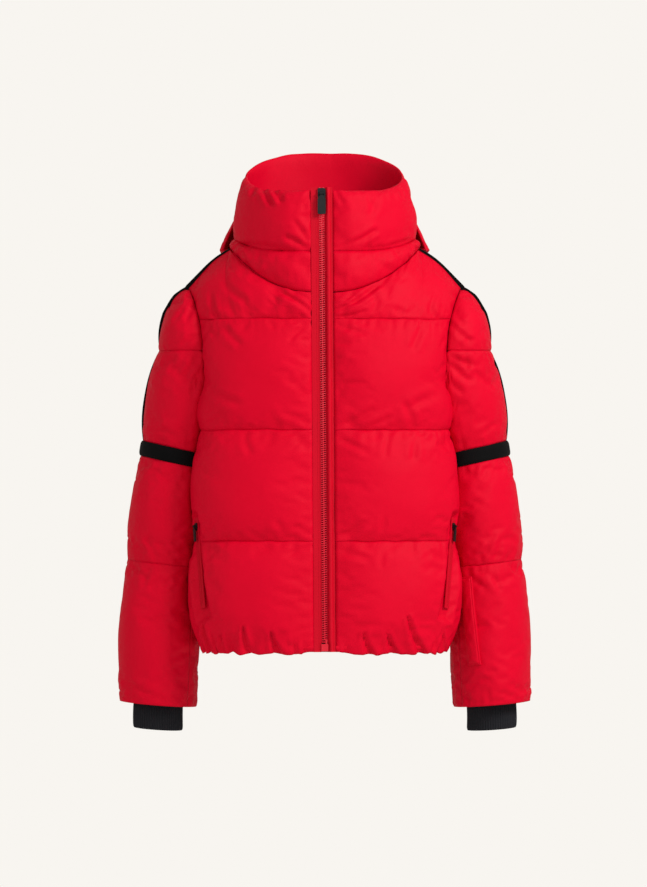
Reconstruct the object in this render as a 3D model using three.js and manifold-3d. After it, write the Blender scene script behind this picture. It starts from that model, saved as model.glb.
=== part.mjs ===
// Quilted ski jacket with a hood, as separate sewn panels, zips and trims.
// Millimetres, +Z up, the wearer faces -Y, and +X is the wearer's left.
// Everything is laid out from the hem line (height 0) and the middle plane (x = 0), and the whole
// group is then shifted so that the origin is the bearing point under the hanger loop.
import * as THREE from "three";
import { mergeVertices } from "three/addons/utils/BufferGeometryUtils.js";
import Module from "manifold-3d";

const wasm = await Module();
wasm.setup();

// ---- Driving dimensions ----

// Quilting rows of the body, as seam heights above the hem
const hemSeamHeight = 162;
const waistSeamHeight = 327;
const chestSeamHeight = 492;

// Body girth: half width at the widest point, how far back that point is, and the back's depth
const torsoStations = [
  { height: -12, halfWidth: 175, middle: -38, back: 99 },
  { height: 0, halfWidth: 180, middle: -40, back: 104 },
  { height: 40, halfWidth: 193, middle: -42, back: 112 },
  { height: hemSeamHeight, halfWidth: 193, middle: -45, back: 112 },
  { height: waistSeamHeight, halfWidth: 183, middle: -45, back: 108 },
  { height: 420, halfWidth: 203, middle: -12, back: 110 },
  { height: 560, halfWidth: 203, middle: -10, back: 104 },
];
const frontFullness = 2.3;      // superellipse power of the front half of the body
const sideSeamAngle = 110;      // degrees round from the front
const seamHalfThickness = 1;    // a seam is pressed flat
const bodyPuff = 12;            // height of a body row above its seams
const yokePuff = 9.5;
const edgeGrowth = 0.006;       // the same clearance past a panel's side edges, as a share of its width
const pressGap = 0.5;           // clearance where one padded piece is pressed against another
const bodyPadDepth = 2;         // how far a body row also fills inward
const seamGap = 0.3;            // clearance between sewn pieces

// Front zip: a straight line up the front edge, leaning a little to the wearer's right
const zipBottomDepth = 132;
const zipTopDepth = 110;
const zipTopHeight = 690;
const zipLean = -5;
const zipTapeHalfWidth = 16;
const zipTapeThickness = 1;
const chainHalfGap = 1.1;
const chainOuterHalf = 3.9;
const chainThickness = 2.8;
const zipEndBelowHem = 6;
const boxHeight = 11;            // retainer box at the lower end
const boxWall = 1.2;
const boxFloor = 3;
const boxExtraDepth = 2;
const insertPinRise = 6;         // how far the insert pin stands out of the box
const stopHeight = 4;            // top stops, thicker than the chain
const stopExtraDepth = 1.4;

// Front zip slider and pull
const sliderLength = 19;
const sliderHalfWidth = 5.8;
const sliderPlate = 1.6;
const sliderRunClearance = 0.4;
const sliderPostWidth = 1.4;
const pullPinRadius = 1.2;
const pullPinHeight = 3.4;
const pullBoreClearance = 0.4;
const pullKnuckleRadius = 2.7;
const pullKnuckleWidth = 4.6;
const pullEarWidth = 1.2;
const pullTabWidth = 12;
const pullTabLength = 27;
const pullTabThickness = 2;

// Collar
const neckHalfWidth = 139;
const neckMiddle = -6;
const neckBack = 90;
const neckFrontHeight = 532;
const neckSideRise = 66;
const neckSideAngle = 90;
const neckShare = 0.58;          // part of a yoke's top edge that lies along the neck
const neckSeamGap = 1.2;
const collarSeamFrontShare = 0.4;   // height of the collar's own seam, as a share of the collar
const collarSeamSideShare = 0.15;
const rimFrontHeight = 683;
const rimBackRise = 68;
const collarTopHalfWidth = 117;
const collarTopBack = 92;
const collarPuff = 10;
const collarBackPuff = 5;
const collarPadDepth = 4;
const collarSideAngle = 96;

// Armhole and shoulder
const armholeMiddle = 12;
const armholeHalfDepth = 71;
const armpitHeight = 345;
const shoulderTipHeight = 541;
const shoulderTipX = 204;
const armpitX = 171;
const armholeFrontX = 181;
const armholeBackX = 171;
const armholeGap = 0.8;
const capTopDrop = 5;
const bodySleeveClearance = 0.5;
const stripeWidth = 26;
const stripeThickness = 1.2;
const stripeBackShift = 26;
const stripeLift = 0.9;
const stripeSleeveTurn = 34;
const stripeBend = 0.42;         // where the strip turns from the shoulder down the cap

// Sleeve: centre line and half sizes of the tube
const sleeveStations = [
  { height: -90, centre: 252, halfWidth: 57, halfDepth: 61, middle: 26 },
  { height: 130, centre: 241, halfWidth: 56, halfDepth: 64, middle: 30 },
  { height: 290, centre: 221, halfWidth: 56, halfDepth: 66, middle: 30 },
  { height: 345, centre: 213, halfWidth: 55, halfDepth: 68, middle: 24 },
];
const capSeamHeight = 446;
const capOuterStations = [
  { height: capSeamHeight, outer: 249 },
  { height: 500, outer: 234 },
  { height: 525, outer: 221 },
  { height: shoulderTipHeight, outer: 208 },
];
const armBandOuterHeight = 300;
const armBandDrop = 24;          // the band slopes down towards the body
const armBandWidth = 22;
const armBandThickness = 3;
const elbowSeamHeight = 132;
const elbowSeamDrop = 12;
const sleeveHemHeight = -81;
const sleeveHemDrop = 9;
const sleevePuff = 7;
const sleevePadDepth = 4;
const knitHalfWidth = 34;
const knitHalfDepth = 38;
const knitThickness = 3;
const knitTopHeight = -60;
const knitBottomHeight = -121;
const knitDrop = 5;
const cuffFunnelHeight = -50;
const cuffFunnelDrop = 8;
const cuffFunnelInset = 4;
const liningThickness = 1.2;
const liningClearance = 1.5;

// Forearm pass pocket on the wearer's left sleeve
const passPocketTop = 128;
const passPocketBottom = -18;
const passPocketWidth = 22;
const passPocketThickness = 5;
const passPocketTopTurn = 239;   // round the sleeve, 180 faces the body and 270 the front
const passPocketBottomTurn = 247;

// Hood, hanging behind the collar: its middle line as steps out and up from the neck seam
const hoodMiddleLine = [
  [-12.5, 6],
  [8, -8],
  [34, -38],
  [66, -22],
  [82, 30],
  [72, 94],
  [36, 140],
];
const hoodSeamClearance = 15;
const hoodReachAngle = 82;       // half of the neck's turn that the hood takes, in degrees
const hoodSeamShare = 0.36;      // part of each half that the middle panel takes
const hoodSeamGap = 0.0015;
const hoodPuff = 5;
const hoodSideFloor = 0.1;
const hoodDropTaper = 3;
const hoodSpread = 0.12;
const hoodTopTaper = 0.0017;     // how much narrower the hood gets with each millimetre that it rises

// Hand pockets: each zip's ends as a turn round the body and a height
const pocketZipTopAngle = 82;
const pocketZipTopHeight = 196;
const pocketZipBottomAngle = 66;
const pocketZipBottomHeight = 62;
const pocketChainLift = 2.9;     // how far the chain lies outside the seam surface
const pocketFloor = 0.5;         // bottom of its recess, inside that surface
const pocketChainSlot = 0.7;
const pocketPullRoom = 12.8;     // the recess runs on below the zip, where the pull lies when it is open
const chainEndLength = 3;
const pocketTapeEnd = 4;         // bare tape beyond each end of the teeth
const pocketBagFrom = 38;
const pocketBagTo = 84;
const pocketBagBottom = 44;
const pocketBagTop = 205;
const pocketTapeWidth = 13;
const pocketTapeThickness = 1;
const pocketChainWidth = 5;
const pocketChainThickness = 2;
const pocketSliderLength = 11;
const pocketSliderWidth = 7.6;
const pocketPullLength = 20;
const pocketPullWidth = 5.6;
const pocketPullThickness = 1.6;
const pocketBagThickness = 2.4;

// Hanger loop, hem and flap
const loopWidth = 58;
const loopArch = 16;
const loopStrap = 10.4;
const loopThickness = 1.2;
const loopFoot = 9;
const loopFootHeight = 616;
const loopBackY = neckBack - 5;
const hemBindingHeight = 9;
const flapHalfWidth = 28;
const flapThickness = 1.6;
const flapClearance = 4.2;
const flapSewnDepth = 3.5;
const flapBow = 1.2;
const hemBindingHalf = 3;
const linedHeight = 320;

// ---- Materials ----

function cloth(color, roughness = 0.62) {
  return new THREE.MeshStandardMaterial({ color, roughness, metalness: 0 });
}

const redShell = cloth("#e0002c");
const redShade = cloth("#b8001f");
const redLining = cloth("#8f0018");
const blackVelvet = cloth("#060606", 0.95);
const charcoalKnit = cloth("#1c1c20", 0.9);
const redTape = cloth("#c40022", 0.7);
const redPlastic = new THREE.MeshStandardMaterial({ color: "#d8142f", roughness: 0.35, metalness: 0 });
const blackMetal = new THREE.MeshStandardMaterial({ color: "#141414", roughness: 0.45, metalness: 0.7 });

const jacket = new THREE.Group();

function addPiece(name, geometry, material, parent = jacket) {
  const mesh = new THREE.Mesh(geometry, material);
  mesh.name = name;
  parent.add(mesh);
  return mesh;
}

// ---- Small maths ----

function mix(a, b, t) {
  return a + (b - a) * t;
}

function ease(from, to, value) {
  const t = Math.min(Math.max((value - from) / (to - from), 0), 1);
  return t * t * (3 - 2 * t);
}

function degrees(angle) {
  return (angle * Math.PI) / 180;
}

function power(value, exponent) {
  return Math.sign(value) * Math.abs(value) ** exponent;
}

// Value of one field at a height, between the two stations around it
function stationValue(stations, field, height) {
  let low = stations[0];
  let high = stations[1];
  for (let i = 1; i < stations.length - 1; i += 1) {
    const next = stations[i];
    if ((height - next.height) * Math.sign(high.height - low.height) > 0) {
      low = next;
      high = stations[i + 1];
    }
  }
  const t = (height - low.height) / (high.height - low.height);
  return mix(low[field], high[field], Math.min(Math.max(t, 0), 1));
}

// ---- Bent solids ----

// The outward normal of a surface given as place(u, v), by small steps inside its edges
function surfaceNormal(place, u, v, wrap, flip) {
  const step = 0.004;
  const u0 = wrap ? u - step : Math.max(u - step, 0);
  const u1 = wrap ? u + step : Math.min(u + step, 1);
  const v0 = Math.max(v - step, 0);
  const v1 = Math.min(v + step, 1);
  const alongU = place(u1, v).sub(place(u0, v));
  const alongV = place(u, v1).sub(place(u, v0));
  return alongU.cross(alongV).normalize().multiplyScalar(flip);
}

// A box bent over a surface: u runs across, v up, and the thickness runs from inner to outer
function bentSheet(place, inner, outer, across, up, flip = 1) {
  const geometry = new THREE.BoxGeometry(1, 1, 1, across, up, 1);
  const position = geometry.getAttribute("position");
  for (let i = 0; i < position.count; i += 1) {
    const u = position.getX(i) + 0.5;
    const v = position.getY(i) + 0.5;
    const offset = position.getZ(i) > 0 ? outer(u, v) : -inner(u, v);
    const normal = surfaceNormal(place, u, v, false, 1);
    const point = place(u, v).addScaledVector(normal, offset * flip);
    position.setXYZ(i, point.x, point.y, point.z);
  }
  return flip > 0 ? geometry : turnedInsideOut(geometry);
}

// A closed ring of rectangular wall bent round a tube surface, with u once round it
function bentRing(place, inner, outer, around, up) {
  const profile = [];
  for (let i = 0; i <= up; i += 1) profile.push(new THREE.Vector2(3, i / up));
  for (let i = up; i >= 0; i -= 1) profile.push(new THREE.Vector2(2, i / up));
  profile.push(profile[0].clone());
  const geometry = new THREE.LatheGeometry(profile, around);
  const position = geometry.getAttribute("position");
  for (let i = 0; i < position.count; i += 1) {
    const step = Math.floor(i / profile.length) % around;
    const corner = profile[i % profile.length];
    const u = step / around;
    const v = corner.y;
    const offset = corner.x > 2.5 ? outer(u, v) : -inner(u, v);
    const normal = surfaceNormal(place, u, v, true, 1);
    const point = place(u, v).addScaledVector(normal, offset);
    position.setXYZ(i, point.x, point.y, point.z);
  }
  return facingOut(geometry);
}

function signedVolume(geometry) {
  const position = geometry.getAttribute("position");
  const index = geometry.getIndex();
  const corners = [new THREE.Vector3(), new THREE.Vector3(), new THREE.Vector3()];
  let volume = 0;
  for (let i = 0; i < index.count; i += 3) {
    corners.forEach((corner, k) => corner.fromBufferAttribute(position, index.getX(i + k)));
    volume += corners[0].dot(corners[1].clone().cross(corners[2])) / 6;
  }
  return volume;
}

function turnedInsideOut(geometry) {
  const index = geometry.getIndex();
  for (let i = 0; i < index.count; i += 3) {
    const kept = index.getX(i);
    index.setX(i, index.getX(i + 1));
    index.setX(i + 1, kept);
  }
  return geometry;
}

function facingOut(geometry) {
  return signedVolume(geometry) < 0 ? turnedInsideOut(geometry) : geometry;
}

// A pillow that is flat at its seams, for a row between two seams
function pillow(height, edgePower = 10) {
  return (u, v) => {
    const rows = 1 - Math.abs(2 * v - 1) ** 2.4;
    const sides = 1 - Math.abs(2 * u - 1) ** edgePower;
    return seamHalfThickness + height * rows * sides;
  };
}

function ringPillow(height) {
  return (u, v) => seamHalfThickness + height * (1 - Math.abs(2 * v - 1) ** 2.4);
}

function even(thickness) {
  return () => thickness;
}

// ---- Booleans ----

function solidOf(geometry) {
  const bare = geometry.clone();
  bare.deleteAttribute("normal");
  bare.deleteAttribute("uv");
  const merged = mergeVertices(bare);
  const vertProperties = Float32Array.from(merged.getAttribute("position").array);
  const triVerts = Uint32Array.from(merged.getIndex().array);
  return new wasm.Manifold(new wasm.Mesh({ numProp: 3, vertProperties, triVerts }));
}

function geometryOf(solid) {
  const mesh = solid.getMesh();
  const geometry = new THREE.BufferGeometry();
  geometry.setAttribute("position", new THREE.BufferAttribute(Float32Array.from(mesh.vertProperties), 3));
  geometry.setIndex(new THREE.BufferAttribute(Uint32Array.from(mesh.triVerts), 1));
  return geometry;
}

// A padded piece gives way where the body's panels, grown by a clearance, reach into it
function pressedBack(geometry) {
  let solid = solidOf(geometry);
  for (const panel of bodyPanels) {
    const shared = solid.intersect(solidOf(panel.grown));
    if (shared.volume() > 0) solid = solid.subtract(solidOf(panel.grown));
  }
  const bodies = solid.decompose().sort((a, b) => b.volume() - a.volume());
  return geometryOf(bodies[0]);
}

function block(width, depth, height, x = 0, y = 0, z = 0) {
  return new THREE.BoxGeometry(width, depth, height).translate(x, y, z);
}

// A round bar along X
function barAcross(radius, length, y, z) {
  const bar = new THREE.CylinderGeometry(radius, radius, length, 20);
  return bar.rotateZ(Math.PI / 2).translate(0, y, z);
}

// ---- Body surface ----

function zipDepthAt(height) {
  return -mix(zipBottomDepth, zipTopDepth, height / zipTopHeight);
}

function zipLeanAt(height) {
  return (zipLean * height) / zipTopHeight;
}

function torsoPoint(angle, height) {
  const halfWidth = stationValue(torsoStations, "halfWidth", height);
  const middle = stationValue(torsoStations, "middle", height);
  const back = stationValue(torsoStations, "back", height);
  const turn = degrees(angle);
  if (Math.cos(turn) > 0) {
    const share = 2 / frontFullness;
    const frontReach = middle - zipDepthAt(height);
    return new THREE.Vector3(
      halfWidth * power(Math.sin(turn), share),
      middle - frontReach * power(Math.cos(turn), share),
      height,
    );
  }
  return new THREE.Vector3(halfWidth * Math.sin(turn), middle - (back - middle) * Math.cos(turn), height);
}

// Angle at which the front of the body reaches the edge of the zip tape
function zipEdgeAngle(height) {
  const halfWidth = stationValue(torsoStations, "halfWidth", height);
  const share = (zipTapeHalfWidth + seamGap) / halfWidth;
  return (Math.asin(share ** (frontFullness / 2)) * 180) / Math.PI;
}

// The armhole is one closed seam: turn 0 is the armpit, 90 the front, 180 the shoulder tip, 270 the back
function armholePoint(turn) {
  const angle = degrees(turn);
  const middleHeight = (armpitHeight + shoulderTipHeight) / 2;
  const height = middleHeight - (middleHeight - armpitHeight) * Math.cos(angle);
  const side = Math.sin(angle);
  const middleX = side > 0 ? armholeFrontX : armholeBackX;
  const endX = Math.cos(angle) > 0 ? armpitX : shoulderTipX;
  const endShare = Math.abs(Math.cos(angle)) ** 2;
  return new THREE.Vector3(
    mix(middleX, endX, endShare),
    armholeMiddle - armholeHalfDepth * side,
    height,
  );
}

// The same seam found by height, on the front (side 1) or the back (side -1)
function armholeAtHeight(height, side) {
  const middleHeight = (armpitHeight + shoulderTipHeight) / 2;
  const share = (middleHeight - height) / (middleHeight - armpitHeight);
  const turn = (Math.acos(Math.min(Math.max(share, -1), 1)) * 180) / Math.PI;
  return armholePoint(side > 0 ? turn : 360 - turn);
}

// Where a row of the body ends at its side: the side seam below the armpit, the armhole above
function rowEnd(height, side) {
  if (height <= armpitHeight) return torsoPoint(sideSeamAngle, height);
  return armholeAtHeight(height, side);
}

function rowEndAngle(height, side) {
  const end = rowEnd(height, side);
  const middle = stationValue(torsoStations, "middle", height);
  const halfWidth = stationValue(torsoStations, "halfWidth", height);
  const across = Math.min(end.x / halfWidth, 1);
  if (end.y < middle) return (Math.asin(across ** (frontFullness / 2)) * 180) / Math.PI;
  return 180 - (Math.asin(across) * 180) / Math.PI;
}

// Front surface of the left half: u runs from the zip edge to the side, v is a height
function frontPoint(u, height) {
  const start = zipEdgeAngle(height);
  const finish = rowEndAngle(height, 1);
  const point = torsoPoint(mix(start, finish, u), height);
  const correction = rowEnd(height, 1).sub(torsoPoint(finish, height));
  return point.addScaledVector(correction, u * u);
}

// Back surface: u runs from the wearer's left side round to the right side
function backPoint(u, height) {
  const side = u < 0.5 ? 1 : -1;
  const reach = Math.abs(2 * u - 1);
  const finish = rowEndAngle(height, -1);
  const point = torsoPoint(mix(180, finish, reach), height);
  const correction = rowEnd(height, -1).sub(torsoPoint(finish, height));
  point.addScaledVector(correction, reach * reach);
  point.x *= side;
  return point;
}

// A piece made for the wearer's left is turned over for the right
function mirrored(geometry) {
  return turnedInsideOut(geometry.clone().scale(-1, 1, 1));
}

// The zip leans: near the front edge the panels lean with it
function leant(place, side) {
  return (u, v) => {
    const point = place(u, v);
    point.x += side * zipLeanAt(point.z) * (1 - u) ** 2;
    return point;
  };
}

const sides = [
  { name: "left", sign: 1 },
  { name: "right", sign: -1 },
];

function sided(geometry, side) {
  return side.sign > 0 ? geometry : mirrored(geometry);
}

// ---- Neck and shoulder lines ----

function neckHeight(angle) {
  const turn = Math.min(angle, 360 - angle);
  return neckFrontHeight + neckSideRise * ease(8, 92, turn);
}

function rimHeight(angle) {
  const turn = Math.min(angle, 360 - angle);
  return rimFrontHeight + rimBackRise * ease(30, 170, turn);
}

// Point on the collar at a turn round the neck and a share of its height; rise is 0 at the neck seam
function collarPoint(angle, rise) {
  const turn = degrees(angle);
  const height = mix(neckHeight(angle), rimHeight(angle), rise);
  const halfWidth = mix(neckHalfWidth, collarTopHalfWidth, rise);
  const front = neckMiddle - zipDepthAt(height);
  const back = mix(neckBack, collarTopBack, rise) - neckMiddle;
  const reach = Math.cos(turn) > 0 ? front : back;
  return new THREE.Vector3(halfWidth * Math.sin(turn), neckMiddle - reach * Math.cos(turn), height);
}

// Turn round the neck at which the collar reaches the edge of the zip tape
function collarEdgeAngle(rise) {
  const halfWidth = mix(neckHalfWidth, collarTopHalfWidth, rise);
  return (Math.asin((zipTapeHalfWidth + seamGap) / halfWidth) * 180) / Math.PI;
}

// Top edge of the yokes: along the neck, then out along the shoulder beside the velvet stripe
function yokeTop(u, side) {
  const stripeHalf = (stripeWidth / 2 + seamGap) * side;
  const tip = armholePoint(180);
  if (u > neckShare) {
    const neck = collarPoint(neckSideAngle, 0);
    const t = (u - neckShare) / (1 - neckShare);
    return new THREE.Vector3(
      mix(neck.x + 2, tip.x, t),
      mix(neck.y, tip.y, t) - stripeHalf,
      mix(neck.z, tip.z, t) + 6 * Math.sin(Math.PI * t),
    );
  }
  const t = u / neckShare;
  const neckEnd = collarPoint(neckSideAngle, 0);
  const from = side > 0 ? collarEdgeAngle(0) : 180;
  const point = collarPoint(mix(from, neckSideAngle, t), 0);
  const shift = neckEnd.clone().setX(neckEnd.x + 2).sub(neckEnd);
  shift.y = -stripeHalf * t * t;
  return point.addScaledVector(shift.setX(0), 1).setX(point.x + 2 * t * t);
}

// ---- Body rows ----

const rowGap = seamGap / 2 + 0.1;
const rows = [
  { name: "hem", from: 0, to: hemSeamHeight },
  { name: "waist", from: hemSeamHeight, to: waistSeamHeight },
  { name: "chest", from: waistSeamHeight, to: chestSeamHeight },
];

function padded(height, extra) {
  const cushion = pillow(height);
  return (u, v) => cushion(u, v) + extra;
}

function makeBodyRows() {
  for (const row of rows) {
    const heightAt = (v) => mix(row.from + rowGap, row.to - rowGap, v);
    for (const side of sides) {
      const panel = (extra) => {
        const reach = 0.998 + edgeGrowth * Math.sign(extra);
        const place = leant((u, v) => frontPoint(u * reach, heightAt(v)), side.sign);
        return sided(bentSheet(place, padded(bodyPadDepth, extra), padded(bodyPuff, extra), 8, 4), side);
      };
      bodyPanels.push({ name: `front_${side.name}_${row.name}`, geometry: panel(0), grown: panel(pressGap) });
    }
    const back = (extra) => {
      const edge = 0.001 - (edgeGrowth / 2) * Math.sign(extra);
      const placeBack = (u, v) => backPoint(mix(edge, 1 - edge, u), heightAt(v));
      return facingOut(bentSheet(placeBack, padded(bodyPadDepth, extra), padded(bodyPuff, extra), 14, 4));
    };
    bodyPanels.push({ name: `back_${row.name}`, geometry: back(0), grown: back(pressGap) });
  }
}

function makeYokes() {
  const frontAt = (u, v) => {
    const bottom = frontPoint(u, chestSeamHeight + 2 * rowGap);
    const top = yokeTop(u, 1);
    top.z -= neckSeamGap;
    const point = bottom.clone().lerp(top, v);
    const edge = armholeAtHeight(mix(chestSeamHeight, shoulderTipHeight, v), 1);
    const straight = frontPoint(1, chestSeamHeight + rowGap).lerp(yokeTop(1, 1), v);
    return point.addScaledVector(edge.sub(straight), u ** 6 * (1 - v * v));
  };
  for (const side of sides) {
    const place = leant((u, v) => frontAt(u * 0.995, v), side.sign);
    const panel = (extra) => {
      return sided(bentSheet(place, padded(bodyPadDepth, extra), padded(yokePuff, extra), 9, 4), side);
    };
    bodyPanels.push({ name: `front_${side.name}_yoke`, geometry: panel(0), grown: panel(pressGap) });
  }
  const backAt = (u, v) => {
    const sign = u < 0.5 ? 1 : -1;
    const reach = Math.abs(2 * u - 1) * 0.995;
    const bottom = backPoint(0.5 - reach / 2, chestSeamHeight + 2 * rowGap);
    const top = yokeTop(reach, -1);
    top.z -= neckSeamGap;
    const point = bottom.clone().lerp(top, v);
    const edge = armholeAtHeight(mix(chestSeamHeight, shoulderTipHeight, v), -1);
    const straight = backPoint(0, chestSeamHeight + rowGap).lerp(yokeTop(1, -1), v);
    point.addScaledVector(edge.sub(straight), reach ** 6 * (1 - v * v));
    point.x *= sign;
    return point;
  };
  const back = (extra) => {
    return facingOut(bentSheet(backAt, padded(bodyPadDepth, extra), padded(yokePuff, extra), 18, 4));
  };
  bodyPanels.push({ name: "back_yoke", geometry: back(0), grown: back(pressGap) });
}

const bodyPanels = [];
makeBodyRows();
makeYokes();
for (const panel of bodyPanels) {
  let geometry = panel.geometry;
  for (const side of sides) {
    const crossed = [`front_${side.name}_hem`, `front_${side.name}_waist`].includes(panel.name);
    if (crossed) geometry = geometryOf(solidOf(geometry).subtract(solidOf(sided(pocketRecess(), side))));
  }
  addPiece(panel.name, geometry, panel.name.startsWith("back") ? redShade : redShell);
}

// ---- Collar ----

function collarSeamRise(angle) {
  const turn = Math.min(angle, 360 - angle);
  return mix(collarSeamFrontShare, collarSeamSideShare, ease(8, 92, turn));
}

const collarGapShare = rowGap / (rimFrontHeight - neckFrontHeight);

function makeCollar() {
  const onCollar = (u, riseAt) => {
    const rise = riseAt(mix(collarEdgeAngle(0), collarSideAngle, u));
    const angle = mix(collarEdgeAngle(rise), collarSideAngle - 0.1, u);
    return collarPoint(angle, rise);
  };
  for (const side of sides) {
    const lowerAt = leant((u, v) => {
      return onCollar(u, (angle) => mix(collarGapShare, collarSeamRise(angle) - collarGapShare, v));
    }, side.sign);
    const upperAt = leant((u, v) => {
      return onCollar(u, (angle) => mix(collarSeamRise(angle) + collarGapShare, 1, v));
    }, side.sign);
    const inner = pillow(collarPadDepth, 8);
    const lower = bentSheet(lowerAt, inner, pillow(collarPuff * 0.8, 8), 8, 3);
    const upper = bentSheet(upperAt, inner, pillow(collarPuff, 8), 8, 4);
    addPiece(`collar_${side.name}_lower`, sided(lower, side), redShell);
    addPiece(`collar_${side.name}_upper`, sided(upper, side), redShell);
  }
  const backAt = (u, v) => {
    const angle = mix(collarSideAngle + 0.1, 360 - collarSideAngle - 0.1, u);
    return collarPoint(angle, mix(collarGapShare, 1, v));
  };
  const back = bentSheet(backAt, pillow(collarPadDepth, 8), pillow(collarBackPuff, 8), 12, 3);
  addPiece("collar_back", back, redShade);
}

// ---- Hood ----

const hoodCurve = new THREE.SplineCurve(hoodMiddleLine.map(([out, up]) => new THREE.Vector2(out, up)));

// reach runs from -1 at the wearer's left end of the neck seam to 1 at the right end
function hoodPoint(reach, v) {
  const angle = 180 + hoodReachAngle * reach;
  const root = collarPoint(angle, 0);
  const outward = new THREE.Vector3(root.x / neckHalfWidth, (root.y - neckMiddle) / neckBack, 0).normalize();
  const backward = new THREE.Vector3((hoodSpread * root.x) / neckHalfWidth, 1, 0);
  const fullness = mix(hoodSideFloor, 1, (1 - Math.min(reach * reach, 1)) ** 0.6);
  const step = hoodCurve.getPoint(v);
  const drop = step.y < 0 ? step.y * fullness ** hoodDropTaper : step.y * fullness;
  root.addScaledVector(outward, hoodSeamClearance).addScaledVector(backward, step.x * fullness);
  return root.set(root.x * (1 - hoodTopTaper * Math.max(drop, 0)), root.y, root.z + drop);
}

function makeHood() {
  const parts = [
    { name: "hood_left_panel", from: -1, to: -hoodSeamShare - hoodSeamGap },
    { name: "hood_center_panel", from: -hoodSeamShare + hoodSeamGap, to: hoodSeamShare - hoodSeamGap },
    { name: "hood_right_panel", from: hoodSeamShare + hoodSeamGap, to: 1 },
  ];
  for (const part of parts) {
    const place = (u, v) => hoodPoint(mix(part.from, part.to, u), v);
    const panel = bentSheet(place, pillow(1, 8), pillow(hoodPuff, 8), 6, 8);
    addPiece(part.name, pressedBack(facingOut(panel)), redShade);
  }
}

// ---- Sleeves ----

// How far the body reaches out at a depth and a height, on its puffed outer face
function bodyReach(depth, height) {
  const halfWidth = stationValue(torsoStations, "halfWidth", height);
  const middle = stationValue(torsoStations, "middle", height);
  const back = stationValue(torsoStations, "back", height);
  const row = rows.find((each) => height <= each.to) ?? rows[2];
  const share = Math.abs((2 * (height - row.from)) / (row.to - row.from) - 1);
  const puff = seamHalfThickness + (height > waistSeamHeight ? 0 : bodyPuff * (1 - share ** 2.4));
  if (depth > middle) {
    const along = Math.min((depth - middle) / (back - middle), 1);
    return halfWidth * Math.sqrt(1 - along * along) + puff;
  }
  const along = Math.min((middle - depth) / (middle - zipDepthAt(height)), 1);
  return halfWidth * (1 - along ** frontFullness) ** (1 / frontFullness) + puff;
}

// The sleeve is pressed flat where it lies against the body
function sleevePress(turn) {
  const away = Math.abs(((turn + 180) % 360) - 180);
  return mix(1, 0.15, ease(95, 150, away));
}

// Point on a sleeve: turn 0 faces away from the body, 90 the back, 180 the body, 270 the front
function sleevePoint(turn, height) {
  const value = (field) => stationValue(sleeveStations, field, height);
  const angle = degrees(turn);
  const point = new THREE.Vector3(
    value("centre") + value("halfWidth") * Math.cos(angle),
    value("middle") + value("halfDepth") * Math.sin(angle),
    height,
  );
  return besideBody(point);
}

function besideBody(point) {
  if (point.z < armpitHeight) {
    const clear = seamHalfThickness + sleevePuff * 0.15 + bodySleeveClearance;
    point.x = Math.max(point.x, bodyReach(point.y, point.z) + clear);
  }
  return point;
}

// Seams round a sleeve slope down towards the body
function seamAt(turn, outerHeight, drop) {
  return outerHeight - (drop * (1 - Math.cos(degrees(turn)))) / 2;
}

// The cap of the sleeve, a C in plan that is open towards the body
function capPoint(turn, height) {
  const front = armholeAtHeight(height, 1);
  const back = armholeAtHeight(height, -1);
  const outer = stationValue(capOuterStations, "outer", height);
  const angle = degrees(turn);
  const across = power(Math.cos(angle), 0.85);
  const along = power(Math.sin(angle), 0.85);
  const edgeX = mix(front.x, back.x, (along + 1) / 2) + armholeGap;
  return new THREE.Vector3(
    mix(edgeX, Math.max(outer, edgeX), across),
    mix(front.y, back.y, (along + 1) / 2),
    height,
  );
}

// Top edge of the upper row: the cap seam outside, and the lower half of the armhole inside
function upperRowTop(turn) {
  const away = ((turn + 180) % 360) - 180;
  if (Math.abs(away) <= 90) return capPoint(away, capSeamHeight - rowGap);
  const middleHeight = (armpitHeight + shoulderTipHeight) / 2;
  const seamShare = (middleHeight - capSeamHeight) / (middleHeight - armpitHeight);
  const seamTurn = (Math.acos(seamShare) * 180) / Math.PI;
  const share = (180 - Math.abs(away)) / 90;
  const point = armholePoint(away < 0 ? seamTurn * share : 360 - seamTurn * share);
  point.x += armholeGap;
  return point;
}

function upperRowPoint(turn, v) {
  const height = seamAt(turn, armBandOuterHeight + armBandWidth / 2 + seamGap, armBandDrop);
  return besideBody(sleevePoint(turn, height).lerp(upperRowTop(turn), v));
}

function sleeveRow(topOuter, topDrop, bottomOuter, bottomDrop) {
  return (turn, v) => {
    const height = mix(seamAt(turn, bottomOuter, bottomDrop), seamAt(turn, topOuter, topDrop), v);
    return sleevePoint(turn, height);
  };
}

const elbowRowPoint = sleeveRow(
  armBandOuterHeight - armBandWidth / 2 - seamGap,
  armBandDrop,
  elbowSeamHeight + rowGap,
  elbowSeamDrop,
);
const cuffRowPoint = sleeveRow(elbowSeamHeight - rowGap, elbowSeamDrop, sleeveHemHeight, sleeveHemDrop);

function sleeveOuter(u, v) {
  const rowsShare = 1 - Math.abs(2 * v - 1) ** 2.4;
  return seamHalfThickness + sleevePuff * rowsShare * sleevePress(u * 360);
}

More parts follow.
